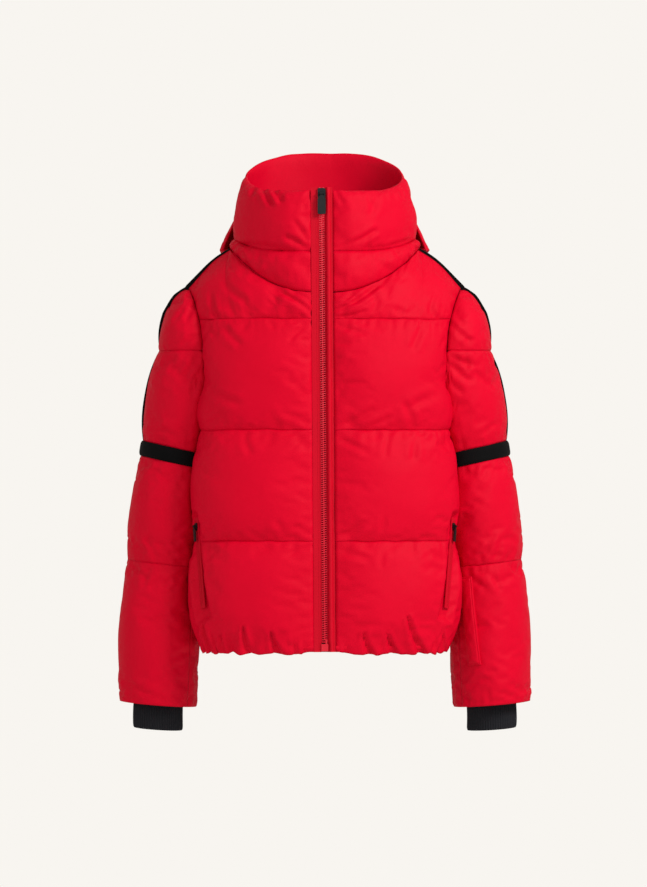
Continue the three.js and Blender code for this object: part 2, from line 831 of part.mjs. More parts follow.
function makeSleeve(side) {
  const parts = [
    { name: "upper_baffle", place: upperRowPoint },
    { name: "elbow_baffle", place: elbowRowPoint },
    { name: "cuff_baffle", place: cuffRowPoint },
  ];
  for (const part of parts) {
    const place = (u, v) => part.place(u * 360, v);
    const tube = sided(bentRing(place, ringPillow(sleevePadDepth), sleeveOuter, 16, 3), side);
    addPiece(`${side.name}_${part.name}`, pressedBack(tube), redShell);
  }

  const capHeight = (v) => mix(capSeamHeight + rowGap, shoulderTipHeight - capTopDrop, v);
  const capAt = (u, v) => capPoint(mix(-89, 89, u), capHeight(v));
  const cap = facingOut(bentSheet(capAt, pillow(1, 8), pillow(sleevePuff, 8), 10, 4));
  addPiece(`${side.name}_sleeve_cap`, sided(cap, side), redShell);

  const bandAt = (u, v) => {
    const turn = u * 360;
    const shift = mix(-armBandWidth / 2, armBandWidth / 2, v);
    return sleevePoint(turn, seamAt(turn, armBandOuterHeight + shift, armBandDrop));
  };
  const bandInner = even(seamHalfThickness);
  const bandOuter = (u) => mix(seamHalfThickness, armBandThickness, sleevePress(u * 360));
  addPiece(`${side.name}_arm_band`, sided(bentRing(bandAt, bandInner, bandOuter, 16, 1), side), blackVelvet);

  const knitAt = (u, v) => {
    const turn = u * 360;
    const height = mix(seamAt(turn, knitBottomHeight, knitDrop), knitTopHeight, v);
    return sleeveCore(turn, height, knitHalfWidth, knitHalfDepth);
  };
  const knit = bentRing(knitAt, even(0), even(knitThickness), 16, 1);
  addPiece(`${side.name}_knit_cuff`, sided(knit, side), charcoalKnit);

  const funnelAt = (u, v) => {
    const turn = u * 360;
    const wall = sleevePoint(turn, cuffFunnelHeight);
    const centre = sleeveCore(turn, cuffFunnelHeight, 0, 0);
    wall.lerp(centre, cuffFunnelInset / sleeveStations[0].halfWidth);
    const reach = knitThickness + seamGap + liningThickness;
    const height = knitTopHeight - cuffFunnelDrop;
    return sleeveCore(turn, height, knitHalfWidth + reach, knitHalfDepth + reach).lerp(wall, v);
  };
  const funnel = bentRing(funnelAt, even(liningThickness / 2), even(liningThickness / 2), 16, 1);
  addPiece(`${side.name}_cuff_lining`, sided(funnel, side), redLining);
}

function sleeveCore(turn, height, halfWidth, halfDepth) {
  const angle = degrees(turn);
  return new THREE.Vector3(
    stationValue(sleeveStations, "centre", height) + halfWidth * Math.cos(angle),
    stationValue(sleeveStations, "middle", height) + halfDepth * Math.sin(angle),
    height,
  );
}

// ---- Velvet stripes ----

// Turn round the cap at which its depth is the given one
function capTurnAt(depth, height) {
  const front = armholeAtHeight(height, 1);
  const back = armholeAtHeight(height, -1);
  const along = Math.min(Math.max((2 * (depth - front.y)) / (back.y - front.y) - 1, -0.97), 0.97);
  return (Math.asin(power(along, 1 / 0.85)) * 180) / Math.PI;
}

function makeStripes(side) {
  const neck = collarPoint(neckSideAngle, 0);
  const tip = armholePoint(180);
  const capTop = shoulderTipHeight - capTopDrop;
  const strip = (u, v) => {
    const across = mix(-stripeWidth / 2, stripeWidth / 2, u);
    if (v < stripeBend) {
      const t = v / stripeBend;
      return new THREE.Vector3(
        mix(neck.x + 3.5, tip.x + 1, t),
        mix(neck.y, tip.y, t) + across,
        mix(neck.z, tip.z, t) + 6 * Math.sin(Math.PI * t) + 0.3,
      );
    }
    const t = (v - stripeBend) / (1 - stripeBend);
    const height = mix(capTop, capSeamHeight + rowGap, t);
    const depth = tip.y + stripeBackShift * t + across;
    const turn = capTurnAt(depth, height);
    const lift = capOuterAt(turn, height) + stripeLift;
    return capPoint(turn, height).add(capNormal(turn, height).multiplyScalar(lift));
  };
  const shoulder = bentSheet(strip, even(0), even(stripeThickness), 2, 14, -1);
  addPiece(`${side.name}_shoulder_stripe`, sided(facingOut(shoulder), side), blackVelvet);

  const sleeveStrip = (u, v) => {
    const across = mix(-stripeWidth / 2, stripeWidth / 2, u) / sleeveStations[3].halfDepth;
    return upperRowPoint(stripeSleeveTurn + (across * 180) / Math.PI, v);
  };
  const lifted = (extra) => (u, v) => sleeveOuter(stripeSleeveTurn / 360, v) + extra;
  const inner = (u, v) => -lifted(seamGap + 0.2)(u, v);
  const outer = lifted(seamGap + 0.2 + stripeThickness);
  const sleeve = bentSheet(sleeveStrip, inner, outer, 2, 6);
  addPiece(`${side.name}_sleeve_stripe`, sided(facingOut(sleeve), side), blackVelvet);
}

function capOuterAt(turn, height) {
  const v = (height - capSeamHeight) / (shoulderTipHeight - capTopDrop - capSeamHeight);
  return pillow(sleevePuff, 8)((turn + 89) / 178, Math.min(Math.max(v, 0), 1));
}

function capNormal(turn, height) {
  const along = capPoint(turn + 1, height).sub(capPoint(turn - 1, height));
  const up = capPoint(turn, height + 1).sub(capPoint(turn, height - 1));
  return along.cross(up).normalize();
}

// ---- Zips ----

// A slider on its chain, in the zip's own frame: z along the chain, y into the body, origin mid-slider
function sliderSolid(size) {
  const channelHalf = size.chainThickness / 2 + size.clearance;
  const halfDepth = channelHalf + size.plate;
  const outline = new THREE.Shape();
  const half = size.halfWidth;
  const end = size.length / 2;
  outline.moveTo(-half * 0.72, -end);
  outline.lineTo(half * 0.72, -end);
  outline.lineTo(half, -end * 0.3);
  outline.lineTo(half, end * 0.7);
  outline.quadraticCurveTo(half, end, half * 0.6, end);
  outline.lineTo(-half * 0.6, end);
  outline.quadraticCurveTo(-half, end, -half, end * 0.7);
  outline.lineTo(-half, -end * 0.3);
  outline.closePath();
  const options = { depth: 2 * halfDepth, bevelEnabled: false, curveSegments: 4 };
  const body = new THREE.ExtrudeGeometry(outline, options);
  body.translate(0, 0, -halfDepth).rotateX(Math.PI / 2);
  const channelWidth = 2 * (size.chainHalf + size.clearance);
  const long = size.length + 2;
  const pinY = -halfDepth - size.pinHeight;
  let solid = solidOf(body);
  solid = solid.subtract(solidOf(block(channelWidth, 2 * channelHalf, long)));
  solid = solid.subtract(solidOf(block(2 * half + 2, size.tapeSlot, long)));
  const post = block(size.postWidth, 2 * halfDepth - 0.2, size.length * 0.3, 0, 0, size.length * 0.32);
  solid = solid.add(solidOf(post));
  const earX = size.knuckleWidth / 2 + seamGap + size.earWidth / 2;
  for (const sign of [-1, 1]) {
    const earDepth = -pinY - halfDepth + 0.4;
    const earY = pinY + earDepth / 2;
    const foot = block(size.earWidth, earDepth, 2 * size.earRadius, sign * earX, earY, size.pinZ);
    const round = barAcross(size.earRadius, size.earWidth, pinY, size.pinZ).translate(sign * earX, 0, 0);
    solid = solid.add(solidOf(foot)).add(solidOf(round));
  }
  const pin = barAcross(size.pinRadius, 2 * earX, pinY, size.pinZ);
  return geometryOf(solid.add(solidOf(pin)));
}

// The pull hangs from the pin; its own origin is the pin's axis
function pullSolid(size) {
  const half = size.tabWidth / 2;
  const top = -size.knuckleRadius - 1.4;
  const bottom = top - size.tabLength;
  const corner = half * 0.45;
  const outline = new THREE.Shape();
  outline.moveTo(-half * 0.62, top);
  outline.lineTo(-half, top - half * 0.8);
  outline.lineTo(-half, bottom + corner);
  outline.quadraticCurveTo(-half, bottom, -half + corner, bottom);
  outline.lineTo(half - corner, bottom);
  outline.quadraticCurveTo(half, bottom, half, bottom + corner);
  outline.lineTo(half, top - half * 0.8);
  outline.lineTo(half * 0.62, top);
  outline.closePath();
  const options = { depth: size.tabThickness, bevelEnabled: false, curveSegments: 4 };
  const tab = new THREE.ExtrudeGeometry(outline, options);
  tab.translate(0, 0, -size.tabThickness / 2).rotateX(Math.PI / 2);
  const neck = block(size.knuckleWidth, size.tabThickness * 0.9, -top + 1, 0, 0, (top - 1) / 2);
  const knuckle = barAcross(size.knuckleRadius, size.knuckleWidth, 0, 0);
  const bore = barAcross(size.pinRadius + pullBoreClearance, size.knuckleWidth + 2, 0, 0);
  const solid = solidOf(tab).add(solidOf(neck)).add(solidOf(knuckle)).subtract(solidOf(bore));
  return geometryOf(solid);
}

const frontSlider = {
  length: sliderLength,
  halfWidth: sliderHalfWidth,
  plate: sliderPlate,
  clearance: sliderRunClearance,
  chainThickness,
  chainHalf: chainOuterHalf,
  postWidth: sliderPostWidth,
  tapeSlot: zipTapeThickness + 2 * sliderRunClearance,
  pinHeight: pullPinHeight,
  pinRadius: pullPinRadius,
  pinZ: 1.5,
  earRadius: 1.9,
  earWidth: pullEarWidth,
  knuckleRadius: pullKnuckleRadius,
  knuckleWidth: pullKnuckleWidth,
  tabWidth: pullTabWidth,
  tabLength: pullTabLength,
  tabThickness: pullTabThickness,
};

const pocketSlider = {
  length: pocketSliderLength,
  halfWidth: pocketSliderWidth / 2,
  plate: 1,
  clearance: sliderRunClearance,
  chainThickness: pocketChainThickness,
  chainHalf: pocketChainWidth / 2,
  postWidth: 0.8,
  tapeSlot: pocketTapeThickness + 2 * sliderRunClearance,
  pinHeight: 2.3,
  pinRadius: 0.8,
  pinZ: 1,
  earRadius: 1.4,
  earWidth: 0.9,
  knuckleRadius: 1.9,
  knuckleWidth: 2.8,
  tabWidth: pocketPullWidth,
  tabLength: pocketPullLength,
  tabThickness: pocketPullThickness,
};

function pinOffset(size) {
  const halfDepth = size.chainThickness / 2 + size.clearance + size.plate;
  return new THREE.Vector3(0, -halfDepth - size.pinHeight, size.pinZ);
}

function makeFrontZip() {
  const zip = new THREE.Group();
  const along = new THREE.Vector3(zipLean, zipBottomDepth - zipTopDepth, zipTopHeight).normalize();
  zip.position.set(0, -zipBottomDepth, 0);
  zip.quaternion.setFromUnitVectors(new THREE.Vector3(0, 0, 1), along);
  jacket.add(zip);

  const length = zipTopHeight;
  const boxHalf = chainOuterHalf + boxWall;
  const boxDepth = chainThickness + boxExtraDepth;
  const pinTop = boxHeight + insertPinRise;
  const socket = block(
    chainOuterHalf - chainHalfGap + 2 * seamGap,
    chainThickness + 2 * seamGap,
    boxHeight,
    (chainOuterHalf + chainHalfGap) / 2,
    0,
    boxHeight / 2 + boxFloor,
  );
  const box = solidOf(block(2 * boxHalf, boxDepth, boxHeight, 0, 0, boxHeight / 2)).subtract(solidOf(socket));
  addPiece("zip_retainer_box", geometryOf(box), redPlastic, zip);
  const pin = block(
    chainOuterHalf - chainHalfGap,
    chainThickness,
    pinTop - boxFloor - seamGap,
    (chainOuterHalf + chainHalfGap) / 2,
    0,
    (pinTop + boxFloor + seamGap) / 2,
  );
  addPiece("zip_insert_pin", pin, redPlastic, zip);

  for (const side of sides) {
    const inner = chainOuterHalf + seamGap;
    const tapeLength = length + zipEndBelowHem;
    const tape = block(
      zipTapeHalfWidth - inner,
      zipTapeThickness,
      tapeLength,
      (side.sign * (zipTapeHalfWidth + inner)) / 2,
      0,
      tapeLength / 2 - zipEndBelowHem,
    );
    const notch = block(
      2 * (boxHalf + seamGap),
      boxDepth,
      boxHeight + zipEndBelowHem + 1 + seamGap,
      0,
      0,
      (boxHeight + seamGap - zipEndBelowHem - 1) / 2,
    );
    addPiece(`zip_tape_${side.name}`, geometryOf(solidOf(tape).subtract(solidOf(notch))), redTape, zip);

    const chainBottom = side.sign > 0 ? pinTop + seamGap : boxHeight + seamGap;
    const chainTop = length - stopHeight;
    const chainWidth = chainOuterHalf - chainHalfGap;
    const chainX = (side.sign * (chainOuterHalf + chainHalfGap)) / 2;
    const chainMiddle = (chainTop + chainBottom) / 2;
    const run = block(chainWidth, chainThickness, chainTop - chainBottom, chainX, 0, chainMiddle);
    const stopDepth = chainThickness + stopExtraDepth;
    const stop = block(chainWidth, stopDepth, stopHeight, chainX, 0, chainTop + stopHeight / 2 - 0.01);
    addPiece(`zip_chain_${side.name}`, geometryOf(solidOf(run).add(solidOf(stop))), redPlastic, zip);
  }

  const sliderPlace = new THREE.Vector3(0, 0, length - stopHeight - sliderLength / 2 - 0.4);
  addPiece("zip_slider", sliderSolid(frontSlider), blackMetal, zip).position.copy(sliderPlace);
  const pull = addPiece("zip_pull", pullSolid(frontSlider), blackMetal, zip);
  pull.position.copy(sliderPlace).add(pinOffset(frontSlider));
}

// Frame of a hand pocket's zip on the wearer's left: its middle, and its axes on the body's surface
function pocketFrame() {
  const top = torsoPoint(pocketZipTopAngle, pocketZipTopHeight);
  const bottom = torsoPoint(pocketZipBottomAngle, pocketZipBottomHeight);
  const middle = top.clone().add(bottom).multiplyScalar(0.5);
  const along = top.clone().sub(bottom).normalize();
  const angle = (pocketZipTopAngle + pocketZipBottomAngle) / 2;
  const around = torsoPoint(angle + 1, middle.z).sub(torsoPoint(angle - 1, middle.z)).normalize();
  const inward = along.clone().cross(around).normalize();
  const across = inward.clone().cross(along).normalize();
  const frame = new THREE.Matrix4().makeBasis(across, inward, along);
  const seat = middle.clone().addScaledVector(inward, -pocketChainLift);
  frame.setPosition(seat);
  return { frame, length: top.distanceTo(bottom) };
}

// Recess in the front panels that the pocket's zip lies in
function pocketRecess() {
  const { frame, length } = pocketFrame();
  const depth = 40;
  const cut = block(
    pocketTapeWidth + 2 * seamGap,
    depth,
    length + 2 * seamGap + pocketPullRoom,
    0,
    pocketChainLift + pocketFloor - depth / 2,
    -pocketPullRoom / 2,
  );
  return cut.applyMatrix4(frame);
}

function makePocket(side) {
  const { frame, length } = pocketFrame();
  const placed = (geometry) => sided(geometry.applyMatrix4(frame), side);
  const tape = solidOf(block(pocketTapeWidth, pocketTapeThickness, length));
  const chainLength = length - 2 * pocketTapeEnd;
  const chain = solidOf(block(pocketChainWidth, pocketChainThickness, chainLength));
  const slotLength = chainLength - chainEndLength;
  const slot = block(2 * pocketChainSlot, 2 * pocketChainThickness, slotLength, 0, 0, -chainEndLength / 2);
  addPiece(`${side.name}_pocket_zip`, placed(geometryOf(tape.add(chain).subtract(solidOf(slot)))), redTape);
  const sliderZ = chainLength / 2 - chainEndLength - 1 - pocketSliderLength / 2;
  const slider = sliderSolid(pocketSlider).translate(0, 0, sliderZ);
  addPiece(`${side.name}_pocket_slider`, placed(slider), blackMetal);
  const hang = pinOffset(pocketSlider);
  const pull = pullSolid(pocketSlider).translate(hang.x, hang.y, hang.z + sliderZ);
  addPiece(`${side.name}_pocket_pull`, placed(pull), blackMetal);

  const bagAt = (u, v) => {
    return torsoPoint(mix(pocketBagFrom, pocketBagTo, u), mix(pocketBagBottom, pocketBagTop, v));
  };
  const near = seamHalfThickness + bodyPadDepth + liningClearance;
  const bag = bentSheet(bagAt, even(near + pocketBagThickness), even(-near), 6, 3);
  addPiece(`${side.name}_pocket_bag`, sided(bag, side), redLining);
}

// ---- Hem, lining, flap, loop and pass pocket ----

function aroundBody(angle, height) {
  const point = torsoPoint(angle > 180 ? 360 - angle : angle, height);
  if (angle > 180) point.x *= -1;
  return point;
}

function makeInside() {
  const hemStart = zipEdgeAngle(0);
  const bindingAt = (u, v) => {
    return aroundBody(mix(hemStart, 360 - hemStart, u), mix(-seamGap - hemBindingHeight, -seamGap, v));
  };
  const binding = bentSheet(bindingAt, even(hemBindingHalf), even(hemBindingHalf), 32, 1);
  addPiece("hem_binding", binding, redShell);

  const liningStart = (Math.asin((flapHalfWidth + 6) / torsoStations[2].halfWidth) * 180) / Math.PI;
  const liningAt = (u, v) => aroundBody(mix(liningStart, 360 - liningStart, u), mix(1, linedHeight, v));
  const shallow = seamHalfThickness + bodyPadDepth + liningClearance;
  const deep = shallow + pocketBagThickness + liningClearance;
  const inset = (v) => mix(shallow, deep, ease(0, 0.1, v));
  const lining = bentSheet(liningAt, (u, v) => inset(v) + liningThickness, (u, v) => -inset(v), 28, 8);
  addPiece("torso_lining", lining, redLining);

  const flapAt = (u, v) => {
    const height = mix(3, neckFrontHeight - 6, v);
    const x = mix(-flapHalfWidth, flapHalfWidth, u) + zipLeanAt(height);
    const sewn = 1 - ease(-flapHalfWidth + 3, -zipTapeHalfWidth, mix(-flapHalfWidth, flapHalfWidth, u));
    const back = zipDepthAt(height) + mix(flapClearance, flapSewnDepth, sewn);
    return new THREE.Vector3(x, back + flapBow * (x / flapHalfWidth) ** 2, height);
  };
  const flap = facingOut(bentSheet(flapAt, even(flapThickness), even(0), 8, 6));
  addPiece("wind_flap", flap, redTape);
}

// An upright arch of strap whose feet are sewn to the inside of the back collar
function makeLoop() {
  const half = loopWidth / 2;
  const outline = new THREE.Shape();
  const flat = half - loopArch;
  const t = loopThickness;
  outline.moveTo(-half, 0);
  outline.lineTo(-half + loopFoot, 0);
  outline.lineTo(-half + loopFoot, t);
  outline.lineTo(-flat, loopArch);
  outline.lineTo(flat, loopArch);
  outline.lineTo(half - loopFoot, t);
  outline.lineTo(half - loopFoot, 0);
  outline.lineTo(half, 0);
  outline.lineTo(half, t);
  outline.lineTo(half - loopFoot + t, t * 1.6);
  outline.lineTo(flat + t * 0.5, loopArch + t);
  outline.lineTo(-flat - t * 0.5, loopArch + t);
  outline.lineTo(-half + loopFoot - t, t * 1.6);
  outline.lineTo(-half, t);
  outline.closePath();
  const strap = new THREE.ExtrudeGeometry(outline, { depth: loopStrap, bevelEnabled: false });
  strap.rotateX(Math.PI / 2);
  addPiece("hanger_loop", strap, blackVelvet).position.set(0, loopBackY, loopFootHeight);
}

function makePassPocket() {
  const half = (passPocketWidth / 2 / sleeveStations[1].halfDepth) * (180 / Math.PI);
  const turnAt = (u, v) => mix(passPocketBottomTurn, passPocketTopTurn, v) + mix(-half, half, u);
  const share = (height) => (height - sleeveHemHeight) / (elbowSeamHeight - sleeveHemHeight);
  const place = (u, v) => {
    const height = mix(passPocketBottom, passPocketTop - elbowSeamDrop, v);
    return cuffRowPoint(turnAt(u, v), share(height));
  };
  const lift = (u, v) => {
    const height = mix(passPocketBottom, passPocketTop - elbowSeamDrop, v);
    return sleeveOuter(turnAt(u, v) / 360, share(height)) + seamGap + 0.6;
  };
  const crown = (u, v) => lift(u, v) + 1 + passPocketThickness * pillow(1, 4)(u, v) - passPocketThickness;
  const welt = bentSheet(place, (u, v) => -lift(u, v), (u, v) => crown(u, v) + 0.4, 4, 8);
  addPiece("left_pass_pocket_welt", pressedBack(facingOut(welt)), redShell);
}

makeCollar();
makeHood();
makeFrontZip();
makeInside();
makeLoop();
makePassPocket();
for (const side of sides) {
  makeSleeve(side);
  makeStripes(side);
  makePocket(side);
}

// The origin is the bearing point under the middle of the hanger loop
jacket.position.set(0, -(loopBackY - loopStrap / 2), -(loopFootHeight + loopArch));

export default jacket;
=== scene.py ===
import math

import bpy
import numpy as np
from mathutils import Matrix, Vector, noise


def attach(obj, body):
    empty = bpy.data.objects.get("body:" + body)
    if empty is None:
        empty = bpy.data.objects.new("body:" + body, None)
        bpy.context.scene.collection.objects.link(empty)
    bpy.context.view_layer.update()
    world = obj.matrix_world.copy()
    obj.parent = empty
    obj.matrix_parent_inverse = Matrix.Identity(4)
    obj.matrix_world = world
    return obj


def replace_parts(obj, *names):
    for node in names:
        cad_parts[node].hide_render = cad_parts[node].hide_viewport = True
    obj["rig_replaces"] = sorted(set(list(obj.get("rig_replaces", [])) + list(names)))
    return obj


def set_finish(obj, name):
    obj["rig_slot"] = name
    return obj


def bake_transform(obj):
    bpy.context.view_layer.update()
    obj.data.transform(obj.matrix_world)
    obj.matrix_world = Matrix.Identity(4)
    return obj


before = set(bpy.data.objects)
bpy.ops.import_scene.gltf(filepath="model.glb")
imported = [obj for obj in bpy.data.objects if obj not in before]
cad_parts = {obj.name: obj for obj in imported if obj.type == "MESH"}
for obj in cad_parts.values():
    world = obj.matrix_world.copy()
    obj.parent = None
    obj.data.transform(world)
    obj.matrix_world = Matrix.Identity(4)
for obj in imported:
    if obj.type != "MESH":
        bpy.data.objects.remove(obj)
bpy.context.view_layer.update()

bpy.ops.object.select_all(action="DESELECT")
print("frame loaded")

# Lengths below are millimetres above the hem line and out from the middle plane, as a pattern cutter
# lays them out; toFrame turns them into metres from the hanger loop.
hangerPoint = {"back": 79.8, "height": 632}

camera = {"distance": 7, "x": -0.002, "height": 307, "lens": 186.6}
studio = {
    "backdrop": (0.939, 0.913, 0.871),
    "fill": 0.5,
    "key": 92,
    "front": 22,
    "side": 13,
    "floorHeight": -470,
    "floorRadius": 1.4,
    "floorDepth": -0.9,
}


def toFrame(points):
    points = np.asarray(points, float)
    shift = np.array([0, hangerPoint["back"], hangerPoint["height"]])
    return (points - shift) / 1000


def mix(a, b, t):
    return a + (b - a) * t


def ease(a, b, value):
    t = min(max((value - a) / (b - a), 0), 1)
    return t * t * (3 - 2 * t)


def easeArray(a, b, value):
    t = np.clip((value - a) / (b - a), 0, 1)
    return t * t * (3 - 2 * t)


def fromFrame(points):
    return np.asarray(points) * 1000 + np.array([0, hangerPoint["back"], hangerPoint["height"]])


def power(value, exponent):
    return math.copysign(abs(value) ** exponent, value)


# Body of the jacket: girth at each height, and where its seams run
body = {
    "heights": [-12, 0, 40, 162, 327, 420, 560],
    "halfWidth": [175, 180, 193, 193, 183, 203, 203],
    "middle": [-38, -40, -42, -45, -45, -12, -10],
    "back": [99, 104, 112, 112, 108, 110, 104],
    "frontFullness": 2.3,
    "sideSeamAngle": 110,
    "hemSeam": 162,
    "waistSeam": 327,
    "chestSeam": 492,
    "puff": 12,
    "yokePuff": 9.5,
    "pad": 2,
    "seamHalf": 1,
    "armholeStart": 335,
    "armholeFull": 405,
}
zipLine = {"bottomDepth": 132, "topDepth": 110, "top": 690, "lean": -5, "edge": 16.3}
armhole = {
    "middle": 12,
    "halfDepth": 71,
    "bottom": 345,
    "top": 541,
    "tipX": 204,
    "pitX": 171,
    "frontX": 181,
    "backX": 171,
    "gap": 0.8,
}


def zipDepth(height):
    return -mix(zipLine["bottomDepth"], zipLine["topDepth"], height / zipLine["top"])


def zipLeanAt(height):
    return zipLine["lean"] * height / zipLine["top"]


def bodyValue(field, height):
    # the pattern's stations, eased into each other
    around = height + np.array([-30, -20, -10, 0, 10, 20, 30])
    return float(np.interp(around, body["heights"], body[field]) @ [0.06, 0.12, 0.2, 0.24, 0.2, 0.12, 0.06])


def torsoPoint(angle, height):
    halfWidth = bodyValue("halfWidth", height)
    middle = bodyValue("middle", height)
    turn = math.radians(angle)
    side, ahead = math.sin(turn), math.cos(turn)
    if ahead > 0:
        share = 2 / body["frontFullness"]
        reach = middle - zipDepth(height)
        return np.array([halfWidth * power(side, share), middle - reach * power(ahead, share), height])
    reach = bodyValue("back", height) - middle
    return np.array([halfWidth * side, middle - reach * ahead, height])


def zipEdgeAngle(height):
    share = zipLine["edge"] / bodyValue("halfWidth", height)
    return math.degrees(math.asin(share ** (body["frontFullness"] / 2)))


def armholePoint(turn):
    angle = math.radians(turn)
    middle = (armhole["bottom"] + armhole["top"]) / 2
    side, low = math.sin(angle), math.cos(angle)
    middleX = armhole["frontX"] if side > 0 else armhole["backX"]
    endX = armhole["pitX"] if low > 0 else armhole["tipX"]
    x = mix(middleX, endX, low * low)
    depth = armhole["middle"] - armhole["halfDepth"] * side
    return np.array([x, depth, middle - (middle - armhole["bottom"]) * low])


def armholeAtHeight(height, side):
    middle = (armhole["bottom"] + armhole["top"]) / 2
    share = (middle - height) / (middle - armhole["bottom"])
    turn = math.degrees(math.acos(min(max(share, -1), 1)))
    return armholePoint(turn if side > 0 else 360 - turn)


def rowEnd(height, side):
    below = torsoPoint(body["sideSeamAngle"], height)
    if height <= armhole["bottom"]:
        return below
    return mix(below, armholeAtHeight(height, side), ease(armhole["bottom"], armhole["bottom"] + 40, height))


def rowEndAngle(height, side):
    across = min(rowEnd(height, side)[0] / bodyValue("halfWidth", height), 1)
    if side < 0:
        return 180 - math.degrees(math.asin(across))
    ahead = math.degrees(math.asin(across ** (body["frontFullness"] / 2)))
    return mix(body["sideSeamAngle"], ahead, ease(body["armholeStart"], body["armholeFull"], height))


def frontPoint(u, height):
    finish = rowEndAngle(height, 1)
    point = torsoPoint(mix(zipEdgeAngle(height), finish, u), height)
    return point + (rowEnd(height, 1) - torsoPoint(finish, height)) * u ** 5


def backPoint(u, height):
    side = 1 if u < 0.5 else -1
    reach = abs(2 * u - 1)
    finish = rowEndAngle(height, -1)
    point = torsoPoint(mix(180, finish, reach), height)
    point = point + (rowEnd(height, -1) - torsoPoint(finish, height)) * reach ** 5
    return point * np.array([side, 1, 1])


# Collar and neck
collar = {
    "neckHalfWidth": 139,
    "neckMiddle": -6,
    "neckBack": 90,
    "neckFront": 532,
    "neckSideRise": 66,
    "seamFront": 0.4,
    "seamSide": 0.15,
    "rimFront": 683,
    "rimBackRise": 68,
    "topHalfWidth": 117,
    "topBack": 92,
    "puff": 10,
    "backPuff": 5,
    "pad": 4,
    "sideAngle": 96,
}
stripe = {
    "width": 26,
    "backShift": 26,
    "sleeveTurn": 15,
    "sleeveRadius": 68,
    "bend": 0.42,        # share of the strip that lies over the shoulder
    "crown": 1.2,
    "root": 7,
    "corner": 3.6,
}


def neckHeight(angle):
    return collar["neckFront"] + collar["neckSideRise"] * ease(8, 92, min(angle, 360 - angle))


def rimHeight(angle):
    turn = math.radians(angle)
    uneven = 2.2 * noise.noise(Vector((math.cos(turn) * 3.1, math.sin(turn) * 3.1, 6)))
    return collar["rimFront"] + collar["rimBackRise"] * ease(30, 170, min(angle, 360 - angle)) + uneven - 1.5


def collarPoint(angle, rise):
    turn = math.radians(angle)
    height = mix(neckHeight(angle), rimHeight(angle), rise)
    halfWidth = mix(collar["neckHalfWidth"], collar["topHalfWidth"], rise)
    middle = collar["neckMiddle"]
    ahead = math.cos(turn)
    reach = middle - zipDepth(height) if ahead > 0 else mix(collar["neckBack"], collar["topBack"], rise) - middle
    return np.array([halfWidth * math.sin(turn), middle - reach * ahead, height])


def collarEdgeAngle(rise):
    halfWidth = mix(collar["neckHalfWidth"], collar["topHalfWidth"], rise)
    return math.degrees(math.asin(zipLine["edge"] / halfWidth))


def collarSeamRise(angle):
    return mix(collar["seamFront"], collar["seamSide"], ease(8, 92, min(angle, 360 - angle)))


neckShare = 0.58     # part of a yoke's top edge that lies along the neck


def yokeTop(u, side):
    half = (stripe["width"] / 2 + 0.3) * side
    tip = armholePoint(180)
    neck = collarPoint(90, 0)
    if u > neckShare:
        t = (u - neckShare) / (1 - neckShare)
        bow = 6 * math.sin(math.pi * t)
        return np.array([mix(neck[0] + 2, tip[0], t), mix(neck[1], tip[1], t) - half,
                         mix(neck[2], tip[2], t) + bow])
    t = u / neckShare
    start = collarEdgeAngle(0) if side > 0 else 180
    return collarPoint(mix(start, 90, t), 0) + np.array([2 * t * t, -half * t * t, 0])


def yokePoint(u, v, side):
    chest = body["chestSeam"]
    rowPoint = (lambda share, height: frontPoint(share, height)) if side > 0 else (
        lambda share, height: backPoint(0.5 - share / 2, height))
    bottom = rowPoint(u, chest)
    top = yokeTop(u, side) - np.array([0, 0, 1.2])
    edge = armholeAtHeight(mix(chest, armhole["top"], v), side)
    straight = mix(rowPoint(1, chest), yokeTop(1, side), v)
    return mix(bottom, top, v) + (edge - straight) * u ** 6 * (1 - v * v)


# Sleeves: the tube's centre and half sizes at each height
sleeve = {
    "heights": [-90, 130, 290, 345],
    "centre": [252, 241, 221, 213],
    "halfWidth": [57, 56, 56, 55],
    "halfDepth": [61, 64, 66, 68],
    "middle": [26, 30, 30, 24],
    "capHeights": [446, 500, 525, 541],
    "capOuter": [249, 234, 221, 208],
    "capSeam": 446,
    "band": 300,
    "bandDrop": 24,
    "bandWidth": 22,
    "elbow": 132,
    "elbowDrop": 12,
    "hem": -81,
    "hemDrop": 9,
    "puff": 7,
    "pad": 4,
    "seamTurn": 218,      # the long seam runs down the inner front
}


def sleeveValue(field, height):
    return float(np.interp(height, sleeve["heights"], sleeve[field]))


def bodyReach(depth, height):
    halfWidth, middle = bodyValue("halfWidth", height), bodyValue("middle", height)
    seams = [0, body["hemSeam"], body["waistSeam"], body["chestSeam"]]
    row = next((i for i in range(3) if height <= seams[i + 1]), 2)
    share = abs(2 * (height - seams[row]) / (seams[row + 1] - seams[row]) - 1)
    puff = body["seamHalf"] + (0 if height > body["waistSeam"] else body["puff"] * (1 - share ** 2.4))
    if depth > middle:
        along = min((depth - middle) / (bodyValue("back", height) - middle), 1)
        return halfWidth * math.sqrt(1 - along * along) + puff
    along = min((middle - depth) / (middle - zipDepth(height)), 1)
    full = body["frontFullness"]
    return halfWidth * (1 - along ** full) ** (1 / full) + puff


def sleevePress(turn):
    return mix(1, 0.15, ease(95, 150, abs((turn + 180) % 360 - 180)))


def besideBody(point):
    if point[2] < armhole["bottom"]:
        clear = body["seamHalf"] + sleeve["puff"] * 0.15 + 0.5
        point[0] = max(point[0], bodyReach(point[1], point[2]) + clear)
    return point


def sleevePoint(turn, height):
    angle = math.radians(turn)
    x = sleeveValue("centre", height) + sleeveValue("halfWidth", height) * math.cos(angle)
    y = sleeveValue("middle", height) + sleeveValue("halfDepth", height) * math.sin(angle)
    return besideBody(np.array([x, y, height]))


def seamAt(turn, outerHeight, drop):
    return outerHeight - drop * (1 - math.cos(math.radians(turn))) / 2


